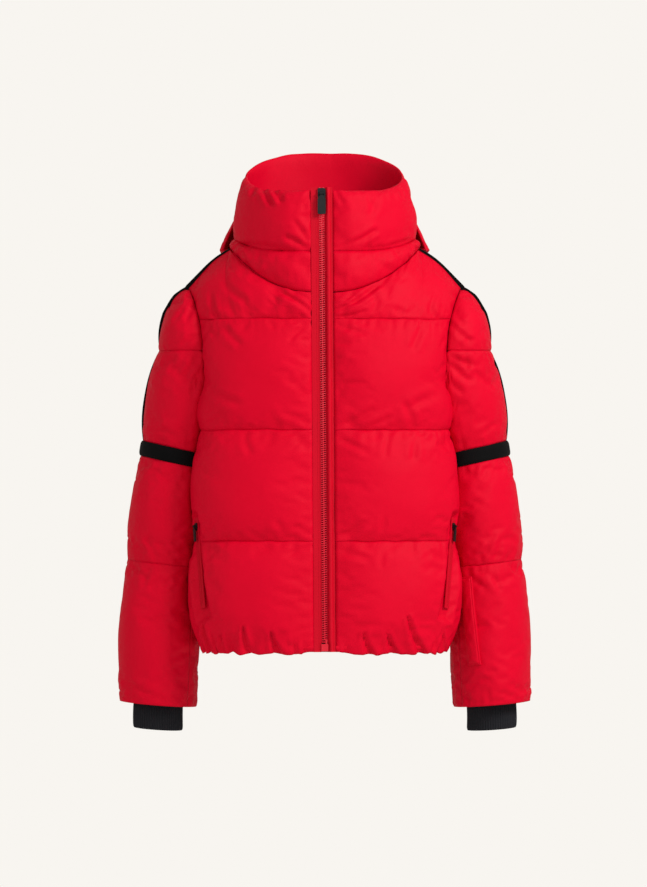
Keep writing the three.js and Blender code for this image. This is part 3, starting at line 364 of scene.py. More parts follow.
def capPoint(turn, height):
    front, back = armholeAtHeight(height, 1), armholeAtHeight(height, -1)
    outer = float(np.interp(height, sleeve["capHeights"], sleeve["capOuter"]))
    angle = math.radians(turn)
    across, along = power(math.cos(angle), 0.85), power(math.sin(angle), 0.85)
    edge = mix(front[0], back[0], (along + 1) / 2) + armhole["gap"]
    return np.array([mix(edge, max(outer, edge), across), mix(front[1], back[1], (along + 1) / 2), height])


def upperRowTop(turn):
    away = (turn + 180) % 360 - 180
    if abs(away) <= 90:
        return capPoint(away, sleeve["capSeam"])
    middle = (armhole["bottom"] + armhole["top"]) / 2
    seamTurn = math.degrees(math.acos((middle - sleeve["capSeam"]) / (middle - armhole["bottom"])))
    share = (180 - abs(away)) / 90
    point = armholePoint(seamTurn * share if away < 0 else 360 - seamTurn * share)
    return point + np.array([armhole["gap"], 0, 0])


def upperRowPoint(turn, v):
    height = seamAt(turn, sleeve["band"] + sleeve["bandWidth"] / 2, sleeve["bandDrop"])
    return besideBody(mix(sleevePoint(turn, height), upperRowTop(turn), v))


def sleeveRow(topOuter, topDrop, bottomOuter, bottomDrop):
    return lambda turn, v: sleevePoint(
        turn, mix(seamAt(turn, bottomOuter, bottomDrop), seamAt(turn, topOuter, topDrop), v))


elbowRowPoint = sleeveRow(sleeve["band"] - sleeve["bandWidth"] / 2, sleeve["bandDrop"],
                          sleeve["elbow"], sleeve["elbowDrop"])
cuffRowPoint = sleeveRow(sleeve["elbow"], sleeve["elbowDrop"], sleeve["hem"], sleeve["hemDrop"])

# Hood, hanging behind the collar
hood = {
    "line": [[-12.5, 6], [8, -8], [34, -38], [66, -22], [82, 30], [72, 94], [36, 140]],
    "clearance": 15,
    "reachAngle": 82,
    "seamShare": 0.36,
    "puff": 5,
    "sideFloor": 0.1,
    "dropTaper": 3,
    "spread": 0.12,
    "topTaper": 0.0021,
    "sidePower": 0.85,
}


def hoodStep(v):
    points = np.array(hood["line"], float)
    place = v * (len(points) - 1)
    i = min(int(place), len(points) - 2)
    t = place - i
    p0 = points[max(i - 1, 0)]
    p1, p2 = points[i], points[i + 1]
    p3 = points[min(i + 2, len(points) - 1)]
    v0, v1 = (p2 - p0) * 0.5, (p3 - p1) * 0.5
    return (2 * p1 - 2 * p2 + v0 + v1) * t ** 3 + (-3 * p1 + 3 * p2 - 2 * v0 - v1) * t ** 2 + v0 * t + p1


def hoodPoint(reach, v):
    root = collarPoint(180 + hood["reachAngle"] * reach, 0)
    outward = np.array([root[0] / collar["neckHalfWidth"],
                        (root[1] - collar["neckMiddle"]) / collar["neckBack"], 0])
    outward = outward / np.linalg.norm(outward)
    backward = np.array([hood["spread"] * root[0] / collar["neckHalfWidth"], 1, 0])
    fullness = mix(hood["sideFloor"], 1, (1 - min(reach * reach, 1)) ** hood["sidePower"])
    out, up = hoodStep(v)
    rise = up * fullness ** hood["dropTaper"] if up < 0 else up * fullness
    point = root + outward * hood["clearance"] + backward * out * fullness + np.array([0, 0, rise])
    return point * np.array([1 - hood["topTaper"] * max(rise, 0), 1, 1])


# A grid laid over a pattern surface, its outward normals, and the padding that lies on it
padding = {
    "grid": 5.6,
    "start": 0.8,        # share of the puff that is there before the panel is blown up
    "frames": 24,
    "pressure": 2.8,
    "cap": 11,
    "seamEase": -0.15,   # how much longer the cloth is beside a seam than the seam is
    "rowEase": -0.012,
    "rollPower": 9,      # a rolled edge stays full almost to its end
}


def layGrid(place, across, up):
    us, vs = np.linspace(0, 1, across + 1), np.linspace(0, 1, up + 1)
    points = np.array([[place(u, v) for u in us] for v in vs])
    return points, gridNormals(points)


def gridNormals(points):
    normals = np.cross(np.gradient(points, axis=1), np.gradient(points, axis=0))
    return normals / np.maximum(np.linalg.norm(normals, axis=2, keepdims=True), 1e-9)


def gridLengths(points):
    along = np.linalg.norm(np.diff(points, axis=1), axis=2).sum(1).mean()
    upward = np.linalg.norm(np.diff(points, axis=0), axis=2).sum(0).mean()
    return along, upward


def gridFaces(index, flip):
    corners = [index[:-1, :-1], index[:-1, 1:], index[1:, 1:], index[1:, :-1]]
    faces = np.stack(corners, axis=2).reshape(-1, 4)
    return faces[:, ::-1] if flip else faces


def finer(points):
    # one smooth halving of the grid in each direction
    for axis in (0, 1):
        points = np.moveaxis(points, axis, 0)
        first, last = 2 * points[:1] - points[1:2], 2 * points[-1:] - points[-2:-1]
        wide = np.concatenate([first, points, last])
        middle = (9 * (wide[1:-2] + wide[2:-1]) - wide[:-3] - wide[3:]) / 16
        result = np.empty((2 * len(points) - 1,) + points.shape[1:])
        result[0::2], result[1::2] = points, middle
        points = np.moveaxis(result, 0, axis)
    return points


def ripple(points, scale, seed):
    flat = points.reshape(-1, 3)
    values = [noise.noise(Vector((p[0] / scale + seed, p[1] / scale - seed, p[2] / scale))) for p in flat]
    return np.array(values).reshape(points.shape[:2])


def rowProfile(vs, exponent=2.15):
    return 1 - np.abs(2 * vs - 1) ** exponent


pads = []


# One padded panel: place(u, v) on the sewn surface, its puff in front and its filling behind
def cutPad(name, place, puff, pad, side=1, sidePower=10, press=None, gather=None, ease=1.0, fill=0.6,
           valley=None, rolled=False):
    coarse, _ = layGrid(place, 8, 4)
    along, upward = gridLengths(coarse)
    across, up = max(int(along / padding["grid"]), 6), max(int(upward / padding["grid"]), 5)
    warp = (lambda u, v: u) if valley is None else valley["warp"]
    points, normals = layGrid(lambda u, v: place(warp(u, v), v), across, up)
    us, vs = np.meshgrid(np.linspace(0, 1, across + 1), np.linspace(0, 1, up + 1))
    fullness = np.where(rolled & (vs > 0.5), rowProfile(vs, padding["rollPower"]), rowProfile(vs))
    fullness = fullness * (1 - np.abs(2 * us - 1) ** sidePower)
    pressed = np.ones_like(us) if press is None else np.array([[press(u) for u in row] for row in us])
    mirror = np.array([side, 1, 1])
    edge = np.minimum(np.minimum(us, 1 - us) * along, np.minimum(vs, 1 - vs) * upward)
    seed = 3.7 * side
    wave = ripple(points * mirror, 24, seed) * 1.6 + ripple(points * mirror, 13, seed + 9) * 1.3
    wave = wave * (0.12 + 0.88 * np.exp(-edge / 24)) + ripple(points * mirror, 75, seed + 4) * 2
    line = ripple(points * mirror, 45, 5) * 1.5
    inner = points - normals * (body["seamHalf"] + pad * fullness)[..., None]
    height = body["seamHalf"] + padding["start"] * puff * fullness * pressed
    height = height + line + wave * fullness ** 0.5 * np.minimum(pressed + 0.3, 1)
    inner = inner + normals * line[..., None]
    loose = np.exp(-edge / 20)
    floor = np.zeros_like(us)
    if valley is not None:
        floor, height = valley["sink"](points, height)
    outer = points + normals * height[..., None]
    if gather is not None:
        outer, inner, more = gather(outer, inner, normals, us, vs, side)
        loose = np.maximum(loose, more)
    pads.append({
        "name": name, "outer": outer * mirror, "inner": inner * mirror, "shape": us.shape, "side": side,
        "loose": np.clip(loose * ease, 0, 1), "pressed": pressed, "size": (along, upward), "fill": fill,
        "floor": floor,
    })


def newMesh(name, points, faces):
    mesh = bpy.data.meshes.new(name)
    mesh.from_pydata([tuple(p) for p in points], [], [tuple(int(i) for i in f) for f in faces])
    mesh.validate()
    piece = bpy.data.objects.new(name, mesh)
    bpy.context.scene.collection.objects.link(piece)
    return piece


def rimOf(index):
    return np.concatenate([index[0, :], index[1:, -1], index[-1, -2::-1], index[-2:0:-1, 0]])


def sideWall(loop, count, flip):
    # joins a loop of the front layer to the same loop of the back layer, count points further on
    loop = loop[::-1] if flip else loop
    after = np.roll(loop, -1)
    return np.stack([after, loop, loop + count, after + count], axis=1)


def writeWeave(piece, flat):
    # the same flat cloth length and width on the front and back layers
    weave = piece.data.uv_layers.new(name="weave")
    loops = np.zeros(len(piece.data.loops), int)
    piece.data.loops.foreach_get("vertex_index", loops)
    weave.data.foreach_set("uv", np.concatenate([flat, flat])[loops].reshape(-1))


def active(piece):
    bpy.ops.object.select_all(action="DESELECT")
    piece.select_set(True)
    bpy.context.view_layer.objects.active = piece


# Every panel is sewn down at its edges, cut a little too large along its seams, and blown up
def inflate(pad):
    rows, columns = pad["shape"]
    points = toFrame(pad["outer"].reshape(-1, 3))
    index = np.arange(rows * columns).reshape(rows, columns)
    piece = newMesh("blown_" + pad["name"], points, gridFaces(index, pad["side"] < 0))
    sewn = piece.vertex_groups.new(name="sewn")
    loose = piece.vertex_groups.new(name="loose")
    puffed = piece.vertex_groups.new(name="puffed")
    looseness, pressed = pad["loose"].reshape(-1), pad["pressed"].reshape(-1)
    for i in range(rows * columns):
        j, k = divmod(i, columns)
        if j in (0, rows - 1) or k in (0, columns - 1) or pad["floor"][j, k] > 0.5:
            sewn.add([i], 1, "REPLACE")
        loose.add([i], float(looseness[i]), "REPLACE")
        puffed.add([i], float(pressed[i]), "REPLACE")
    cloth = piece.modifiers.new("cloth", "CLOTH")
    settings = cloth.settings
    settings.quality = 5
    settings.mass = 0.12
    settings.tension_stiffness = settings.compression_stiffness = 22
    settings.shear_stiffness = 7
    settings.bending_stiffness = 0.15
    settings.air_damping = 2.5
    settings.vertex_group_mass = "sewn"
    settings.vertex_group_shrink = "loose"
    settings.shrink_min = padding["rowEase"]
    settings.shrink_max = padding["seamEase"]
    settings.use_pressure = True
    settings.uniform_pressure_force = padding["pressure"]
    settings.vertex_group_pressure = "puffed"
    settings.effector_weights.gravity = 0
    cloth.collision_settings.use_self_collision = False
    cloth.point_cache.frame_end = padding["frames"]
    pad["blown"] = piece


def readBlown(pad):
    piece = pad["blown"]
    active(piece)
    bpy.ops.object.modifier_apply(modifier="cloth")
    co = np.zeros(len(piece.data.vertices) * 3)
    piece.data.vertices.foreach_get("co", co)
    blown = co.reshape(-1, 3)
    start = toFrame(pad["outer"].reshape(-1, 3))
    moved = blown - start
    length = np.linalg.norm(moved, axis=1, keepdims=True)
    limit = padding["cap"] / 1000
    blown = start + moved * np.minimum(1, limit * np.tanh(length / limit) / np.maximum(length, 1e-9))
    pad["outer"] = fromFrame(blown.reshape(pad["outer"].shape))
    bpy.data.objects.remove(piece, do_unlink=True)


# Creases pulled into the cloth by its seams: from (x, height) to (x, height), half width and depth
creases = {
    "yoke": [(16, 505, 78, 541, 3.6, 3.6), (16, 512, 40, 526, 2.8, 2.2), (-17, 497, -62, 530, 3.6, 3.4),
             (-17, 512, -48, 532, 3, 2.2), (20, 494, 60, 503, 3, 1.6), (96, 510, 120, 500, 4, 1.5),
             (-150, 545, -120, 520, 5, 2), (150, 520, 170, 490, 5, 1.8), (-170, 528, -162, 496, 4, 2.4),
             (-178, 508, -150, 494, 4, 2), (164, 530, 158, 504, 4, 2)],
    "collar": [(20, 597, 74, 622, 4, 3.2), (-22, 592, -56, 612, 4, 3.2), (-24, 600, -44, 634, 4, 2),
               (22, 592, 50, 600, 3, 1.6), (-82, 697, -66, 668, 4, 3.4), (-98, 706, -80, 664, 4, 3.6),
               (14, 686, 26, 664, 3.4, 2), (-16, 686, -30, 656, 4, 2), (88, 690, 70, 650, 5, 1.6),
               (64, 596, 128, 612, 3.4, 1.8), (-64, 594, -128, 604, 3.4, 1.6)],
    "sleeve_cap": [(190, 486, 214, 462, 4, 2.4), (188, 512, 206, 486, 4, 2), (-188, 520, -206, 492, 4, 2.2),
                   (-184, 470, -210, 458, 4, 1.8)],
    "upper_baffle": [(188, 438, 222, 424, 4, 2.6), (190, 424, 214, 402, 4, 2.4), (186, 400, 204, 384, 4, 1.8),
                     (-186, 440, -206, 408, 5, 2.6), (-184, 420, -198, 384, 5, 2.2), (226, 318, 250, 334, 4, 1.6),
                     (-226, 318, -256, 330, 4, 1.6)],
    "elbow_baffle": [(218, 126, 244, 150, 4, 2.2), (252, 130, 262, 158, 4, 1.8), (-214, 126, -240, 148, 4, 1.8),
                     (-252, 130, -266, 160, 4, 1.6)],
    "cuff_baffle": [(214, 116, 238, 92, 4, 2), (250, 116, 262, 90, 4, 1.8), (-216, 114, -240, 96, 4, 1.6),
                    (-262, 120, -272, 92, 4, 1.6)],
    "chest": [(-17, 488, -50, 462, 4, 2), (17, 486, 56, 470, 4, 1.8), (-17, 330, -60, 352, 5, 1.8),
              (17, 332, 70, 356, 5, 2.2), (60, 330, 96, 346, 4, 1.8), (130, 332, 120, 362, 5, 2),
              (150, 486, 132, 452, 5, 1.8), (-152, 486, -128, 456, 5, 1.6), (168, 380, 130, 362, 6, 2.2),
              (-168, 384, -132, 368, 6, 1.8)],
    "waist": [(17, 322, 60, 296, 5, 2), (96, 322, 90, 292, 4, 1.8), (140, 322, 132, 288, 5, 2),
              (-18, 322, -48, 300, 4, 1.4), (-120, 322, -112, 296, 5, 1.6), (17, 168, 58, 190, 5, 2),
              (80, 168, 88, 194, 4, 1.8), (-60, 168, -70, 190, 5, 1.4), (-18, 170, -44, 184, 4, 1.6)],
    "hem": [(-181, 36, -168, -12, 5, 5), (-155, 22, -148, -12, 4, 3.6), (-121, 34, -110, -12, 4.6, 5),
            (-80, 28, -64, -12, 4.4, 4.4), (-46, 20, -40, -12, 3.6, 3), (-30, 14, -26, -12, 3.6, 2.4),
            (57, 30, 70, -12, 4.2, 5), (92, 28, 107, -12, 4.2, 5), (123, 50, 149, -12, 5, 6),
            (176, 20, 180, -12, 4, 3.6), (30, 14, 36, -12, 3.6, 2.6), (17, 156, 60, 138, 5, 2),
            (90, 156, 84, 128, 4, 1.6), (-17, 156, -52, 144, 4, 1.4)],
}


def crease(outer, lines):
    normals = gridNormals(outer)
    depth, tucked = np.zeros(outer.shape[:2]), np.zeros(outer.shape[:2])
    x, z = outer[..., 0], outer[..., 2]
    for x0, z0, x1, z1, half, deep in lines:
        run = np.array([x1 - x0, z1 - z0], float)
        length = np.linalg.norm(run)
        run = run / length
        along = (x - x0) * run[0] + (z - z0) * run[1]
        aside = (x - x0) * run[1] - (z - z0) * run[0]
        share = np.clip(along / length, 0, 1)
        bow = aside - 0.05 * length * np.sin(share * math.pi)
        half = half * (0.4 + 0.9 * share) if z1 < 0 else half
        past = np.maximum(np.maximum(-along, along - length), 0)
        fullness = np.sin(math.pi * np.clip(share * 0.5 + 0.5 * (z1 < 0), 0, 1))
        fade = np.exp(-(past / half) ** 2) * (0.45 + 0.55 * fullness)
        groove = np.exp(-(bow / half) ** 2) - 0.55 * np.exp(-((np.abs(bow) - 1.9 * half) / (1.2 * half)) ** 2)
        depth += deep * groove * fade
        if z1 < 0:
            tucked += 0.75 * deep * groove * fade * share ** 3
    flip = np.where(normals[..., 1:2] > 0, -1, 1)
    facing = np.clip(np.abs(normals[..., 1:2]) * 2, 0, 1)
    creased = outer - normals * flip * depth[..., None] * facing
    creased[..., 2] += tucked
    return creased


# Cloth eased into a seam stands in small puckers beside it, and the seam itself wanders a little
puckers = {"spacing": 8.5, "left": 1.7, "right": 0.7, "reach": 13, "wander": 1.5, "wanderLength": 24}


def pucker(outer, inner, pad):
    normals = gridNormals(outer) * (-1 if pad["side"] < 0 else 1)
    along, upward = pad["size"]
    rowCount, columns = outer.shape[:2]
    steps, heights = np.linspace(0, along, columns), np.linspace(0, upward, rowCount)
    swell = np.zeros((rowCount, columns))
    for away, seed in ((heights, 3.1), (upward - heights, 8.7)):
        row = [noise.noise(Vector((step / puckers["spacing"], seed, 0))) for step in steps]
        row = np.array([value - 0.35 * abs(value) for value in row])
        swell += row[None, :] * (np.exp(-away / puckers["reach"]) * (1 - np.exp(-away / 3)))[:, None] * 2
    size = mix(puckers["right"], puckers["left"], easeArray(-40, 90, outer[..., 0]))
    outer = outer + normals * (swell * size)[..., None]
    if pad["name"].startswith(("front", "back")):
        edge = np.exp(-np.minimum(heights, upward - heights) / 22)[:, None]
        outer[..., 2] += puckers["wander"] * ripple(outer * [1, 1, 0], puckers["wanderLength"], 2) * edge
        inner[..., 2] += puckers["wander"] * ripple(inner * [1, 1, 0], puckers["wanderLength"], 2) * edge
    return outer, inner


def closePad(pad):
    outer, inner = finer(pad["outer"]), finer(pad["inner"])
    if not pad["name"].startswith("hood"):
        outer, inner = pucker(outer, inner, pad)
    lines = [creases[part] for part in creases if part in pad["name"] and not pad["name"].startswith("back")
             and pad["name"] != "collar_back"]
    if lines:
        outer = crease(outer, lines[0])
    rows, columns = outer.shape[:2]
    count = rows * columns
    index = np.arange(count).reshape(rows, columns)
    faces = gridFaces(index, pad["side"] < 0)
    wall = sideWall(rimOf(index), count, pad["side"] < 0)
    allFaces = np.concatenate([faces, faces[:, ::-1] + count, wall])
    points = toFrame(np.concatenate([outer.reshape(-1, 3), inner.reshape(-1, 3)]))
    piece = newMesh("soft_" + pad["name"], points, allFaces)
    along, upward = pad["size"]
    us, vs = np.meshgrid(np.linspace(0, along / 1000, columns), np.linspace(0, upward / 1000, rows))
    writeWeave(piece, np.stack([us.reshape(-1), vs.reshape(-1)], axis=1))
    edge = np.minimum(np.minimum(us, along / 1000 - us), np.minimum(vs, upward / 1000 - vs)).reshape(-1)
    seam = piece.data.attributes.new("seam", "FLOAT", "POINT")
    seam.data.foreach_set("value", np.concatenate([edge, edge]).astype(np.float32))
    piece.data.polygons.foreach_set("use_smooth", [True] * len(piece.data.polygons))
    piece.data.update()
    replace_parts(piece, pad["name"])
    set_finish(piece, "shell_fabric")
    pad["piece"] = piece
    return piece


# Hem: the casing holds less than the cloth it is sewn to, so the last inches stand in folds
gathers = {"spacing": 33, "depth": 8, "drop": 5, "reach": 42}


def hemFolds(outer, inner, normals, us, vs, side):
    along, upward = gridLengths(outer)
    place = us * along
    height = vs * upward
    flat = [noise.noise(Vector((s / 58 + 4 * side, 1.7, side))) for s in place[0]]
    tall = [noise.noise(Vector((s / 37 - 7 * side, 5.2, side))) for s in place[0]]
    phase = place[0] / gathers["spacing"] * math.pi + 2.2 * np.array(flat)
    fold = np.abs(np.sin(phase)) ** 0.65 - 0.62
    reach = gathers["reach"] * (1 + 0.75 * np.array(tall))
    strength = 0.7 + 0.55 * np.array(tall)
    fade = np.clip(1 - height / reach[None, :], 0, 1) ** 1.35
    ends = np.clip(np.minimum(us, 1 - us) * along / 14, 0, 1)
    lift = fold[None, :] * strength[None, :] * fade * ends
    outer = outer + normals * (gathers["depth"] * lift)[..., None]
    outer[..., 2] -= gathers["drop"] * (lift + 0.75 * fade * ends)
    inner = inner + normals * (gathers["depth"] * 0.75 * lift * (vs < 0.02))[..., None]
    inner[..., 2] -= gathers["drop"] * (lift + 0.75 * fade * ends) * (vs < 0.02)
    return outer, inner, 0.9 * np.clip(1 - height / 60, 0, 1)


def leant(place, side):
    def leaning(u, v):
        point = place(u, v)
        point[0] += side * zipLeanAt(point[2]) * (1 - u) ** 2
        return point
    return leaning


# Hand pockets: each zip lies at the bottom of a slit between two folds of the padding
pocket = {
    "topAngle": 82,
    "topHeight": 196,
    "bottomAngle": 66,
    "bottomHeight": 62,
    "lift": 2.9,
    "halfWidth": 7.4,
    "bank": 11,
    "pullRoom": 12.8,
    "floor": -0.2,
    "tapeWidth": 13,
    "tapeThickness": 1,
    "tapeEnd": 4,
}


def pocketFrame():
    top = torsoPoint(pocket["topAngle"], pocket["topHeight"])
    bottom = torsoPoint(pocket["bottomAngle"], pocket["bottomHeight"])
    along = (top - bottom) / np.linalg.norm(top - bottom)
    middle = (top + bottom) / 2
    angle = (pocket["topAngle"] + pocket["bottomAngle"]) / 2
    around = torsoPoint(angle + 1, middle[2]) - torsoPoint(angle - 1, middle[2])
    inward = np.cross(along, around / np.linalg.norm(around))
    inward = inward / np.linalg.norm(inward)
    across = np.cross(inward, along)
    return middle - inward * pocket["lift"], across, inward, along, np.linalg.norm(top - bottom)


def pocketValley(low, high):
    seat, across, inward, along, length = pocketFrame()
    line = {}
    bandColumns = 0.11        # share of the grid's columns that lie across the slit

    def slitAt(v):
        # u at which the row at this height crosses the slit, and half the slit's width in u
        if v not in line:
            height = mix(low, high, v)
            share = (height - pocket["bottomHeight"]) / (pocket["topHeight"] - pocket["bottomHeight"])
            share = min(max(share, -0.3), 1.1)
            angle = mix(pocket["bottomAngle"], pocket["topAngle"], share)
            start, finish = zipEdgeAngle(height), rowEndAngle(height, 1)
            steps = [frontPoint(u, height) for u in np.linspace(0, 1, 25)]
            width = sum(np.linalg.norm(b - a) for a, b in zip(steps, steps[1:]))
            line[v] = ((angle - start) / (finish - start), (pocket["halfWidth"] + 1) / width)
        return line[v]

    def warp(u, v):
        middle, half = slitAt(v)
        first = (middle - half) * (1 - bandColumns)
        if u < first:
            return u / first * (middle - half)
        if u < first + bandColumns:
            return middle - half + (u - first) / bandColumns * 2 * half
        return middle + half + (u - first - bandColumns) / (1 - first - bandColumns) * (1 - middle - half)

    def sink(points, height):
        local = points - seat
        aside, up = np.abs(local @ across), local @ along
        reach = length / 2
        ends = easeArray(-reach - pocket["pullRoom"] - 9, -reach - pocket["pullRoom"], up)
        ends = ends * (1 - easeArray(reach + 1, reach + 12, up))
        depth = (1 - easeArray(pocket["halfWidth"], pocket["halfWidth"] + pocket["bank"], aside)) * ends
        height = mix(height, pocket["floor"], depth)
        floor = (aside < pocket["halfWidth"] + 0.6) & (ends > 0.6)
        return floor.astype(float), height

    return {"warp": warp, "sink": sink}


sides = [("left", 1), ("right", -1)]
rows = [("hem", 0, body["hemSeam"]), ("waist", body["hemSeam"], body["waistSeam"]),
        ("chest", body["waistSeam"], body["chestSeam"])]


def frontRow(low, high):
    return lambda u, v: frontPoint(u, mix(low, high, v))


def backRow(low, high):
    return lambda u, v: backPoint(u, mix(low, high, v))


def cutBody():
    for name, low, high in rows:
        gather = hemFolds if name == "hem" else None
        for sideName, side in sides:
            valley = None if name == "chest" else pocketValley(low, high)
            cutPad(f"front_{sideName}_{name}", leant(frontRow(low, high), side), body["puff"], body["pad"],
                   side, gather=gather, ease=1 if side > 0 else 0.6, valley=valley)
        cutPad(f"back_{name}", backRow(low, high), body["puff"], body["pad"], gather=gather, sidePower=14)
    for sideName, side in sides:
        place = leant(lambda u, v: yokePoint(u, v, 1), side)
        cutPad(f"front_{sideName}_yoke", place, body["yokePuff"], body["pad"], side)

    def yokeBack(u, v):
        return yokePoint(abs(2 * u - 1), v, -1) * np.array([1 if u < 0.5 else -1, 1, 1])

    cutPad("back_yoke", yokeBack, body["yokePuff"], body["pad"], sidePower=14)


def cutCollar():
    def onCollar(u, riseAt):
        rise = riseAt(mix(collarEdgeAngle(0), collar["sideAngle"], u))
        return collarPoint(mix(collarEdgeAngle(rise), collar["sideAngle"], u), rise)

    for sideName, side in sides:
        lower = leant(lambda u, v: onCollar(u, lambda angle: collarSeamRise(angle) * v), side)
        upper = leant(lambda u, v: onCollar(u, lambda angle: mix(collarSeamRise(angle), 1, v)), side)
        cutPad(f"collar_{sideName}_lower", lower, collar["puff"] * 0.8, collar["pad"], side, sidePower=8)
        cutPad(f"collar_{sideName}_upper", upper, collar["puff"], collar["pad"], side, sidePower=8, rolled=True)

    def behind(u, v):
        return collarPoint(mix(collar["sideAngle"], 360 - collar["sideAngle"], u), v)

    cutPad("collar_back", behind, collar["backPuff"], collar["pad"], sidePower=12, rolled=True)


def cutHood():
    share = hood["seamShare"]
    for name, start, end in (("left", -1, -share), ("center", -share, share), ("right", share, 1)):
        def place(u, v, start=start, end=end):
            return hoodPoint(mix(start, end, u), v)
        cutPad(f"hood_{name}_panel", place, hood["puff"] + 2, 1, sidePower=8, fill=0.4)


def cutSleeves():
    for sideName, side in sides:
        for part, surface in (("upper", upperRowPoint), ("elbow", elbowRowPoint), ("cuff", cuffRowPoint)):
            def place(u, v, surface=surface):
                return surface(sleeve["seamTurn"] + 360 * u, v)
            cutPad(f"{sideName}_{part}_baffle", place, sleeve["puff"], sleeve["pad"], side, sidePower=40,
                   press=lambda u: sleevePress((sleeve["seamTurn"] + 360 * u) % 360))

        def cap(u, v):
            return capPoint(mix(-89.5, 89.5, u), mix(sleeve["capSeam"], armhole["top"] - 4, v))
        cutPad(f"{sideName}_sleeve_cap", cap, sleeve["puff"], 1, side, sidePower=8)


cutBody()
cutCollar()
cutHood()
cutSleeves()
print("panels cut:", len(pads), "grid points:", sum(p["outer"].shape[0] * p["outer"].shape[1] for p in pads))

for pad in pads:
    inflate(pad)
for step in range(1, padding["frames"] + 1):
    bpy.context.scene.frame_set(step)
for pad in pads:
    readBlown(pad)
bpy.context.scene.frame_set(1)
print("panels inflated")
for pad in pads:
    closePad(pad)
print("panels closed")


# Flat and moulded pieces that follow a pattern surface: a wall between two offsets, closed all round
def wallPiece(name, place, inner, outer, across, up, node=None, side=1, wrap=False,
              slotName="shell_fabric", flip=1):
    points, normals = layGrid(place, across, up)
    if wrap:
        normals[:, 0] = normals[:, -1] = normals[:, 0] + normals[:, -1]
        normals /= np.linalg.norm(normals, axis=2, keepdims=True)
    us, vs = np.meshgrid(np.linspace(0, 1, across + 1), np.linspace(0, 1, up + 1))
    mirror = np.array([side, 1, 1])
    front = (points + normals * flip * np.vectorize(outer)(us, vs)[..., None]) * mirror
    back = (points - normals * flip * np.vectorize(inner)(us, vs)[..., None]) * mirror
    reverse = (side * flip) < 0
    rowCount, columns = us.shape
    count = rowCount * columns
    index = np.arange(count).reshape(rowCount, columns)
    loops = [rimOf(index)]
    if wrap:
        index[:, -1] = index[:, 0]     # the last column closes on the first
        loops = [index[0, :-1], index[-1, :-1][::-1]]
    faces = gridFaces(index, reverse)
    walls = [sideWall(loop, count, reverse) for loop in loops]
    allFaces = np.concatenate([faces, faces[:, ::-1] + count] + walls)
    along, upward = gridLengths(points)
    uv = np.stack([us.reshape(-1) * along, vs.reshape(-1) * upward], axis=1) / 1000
    piece = newMesh(name, toFrame(np.concatenate([front.reshape(-1, 3), back.reshape(-1, 3)])), allFaces)
    writeWeave(piece, uv)
    if wrap:
        active(piece)
        bpy.ops.object.mode_set(mode="EDIT")
        bpy.ops.mesh.select_all(action="SELECT")
        bpy.ops.mesh.delete_loose()
        bpy.ops.object.mode_set(mode="OBJECT")
    active(piece)
    bpy.ops.object.shade_smooth_by_angle(angle=math.radians(50))
    if node:
        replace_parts(piece, node)
    if slotName:
        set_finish(piece, slotName)
    return piece


pieces = {}


def aroundBody(angle, height):
    point = torsoPoint(360 - angle if angle > 180 else angle, height)
    return point * np.array([-1 if angle > 180 else 1, 1, 1])


# Hem casing, lining, storm flap and hanger loop
inside = {
    "casingHeight": 9,
    "casingRise": 8,
    "casingHalf": 2.6,
    "casingInset": 4,
    "linedHeight": 320,
    "liningThickness": 1.2,
    "flapHalfWidth": 28,
    "flapBottom": -1,
    "flapThickness": 1.6,
    "flapClearance": 4.2,
    "flapSewn": 3.5,
    "loopWidth": 58,
    "loopArch": 16,
    "loopStrap": 10.4,
    "loopFoot": 9,
    "loopHeight": 616,
    "loopBack": 85,
}


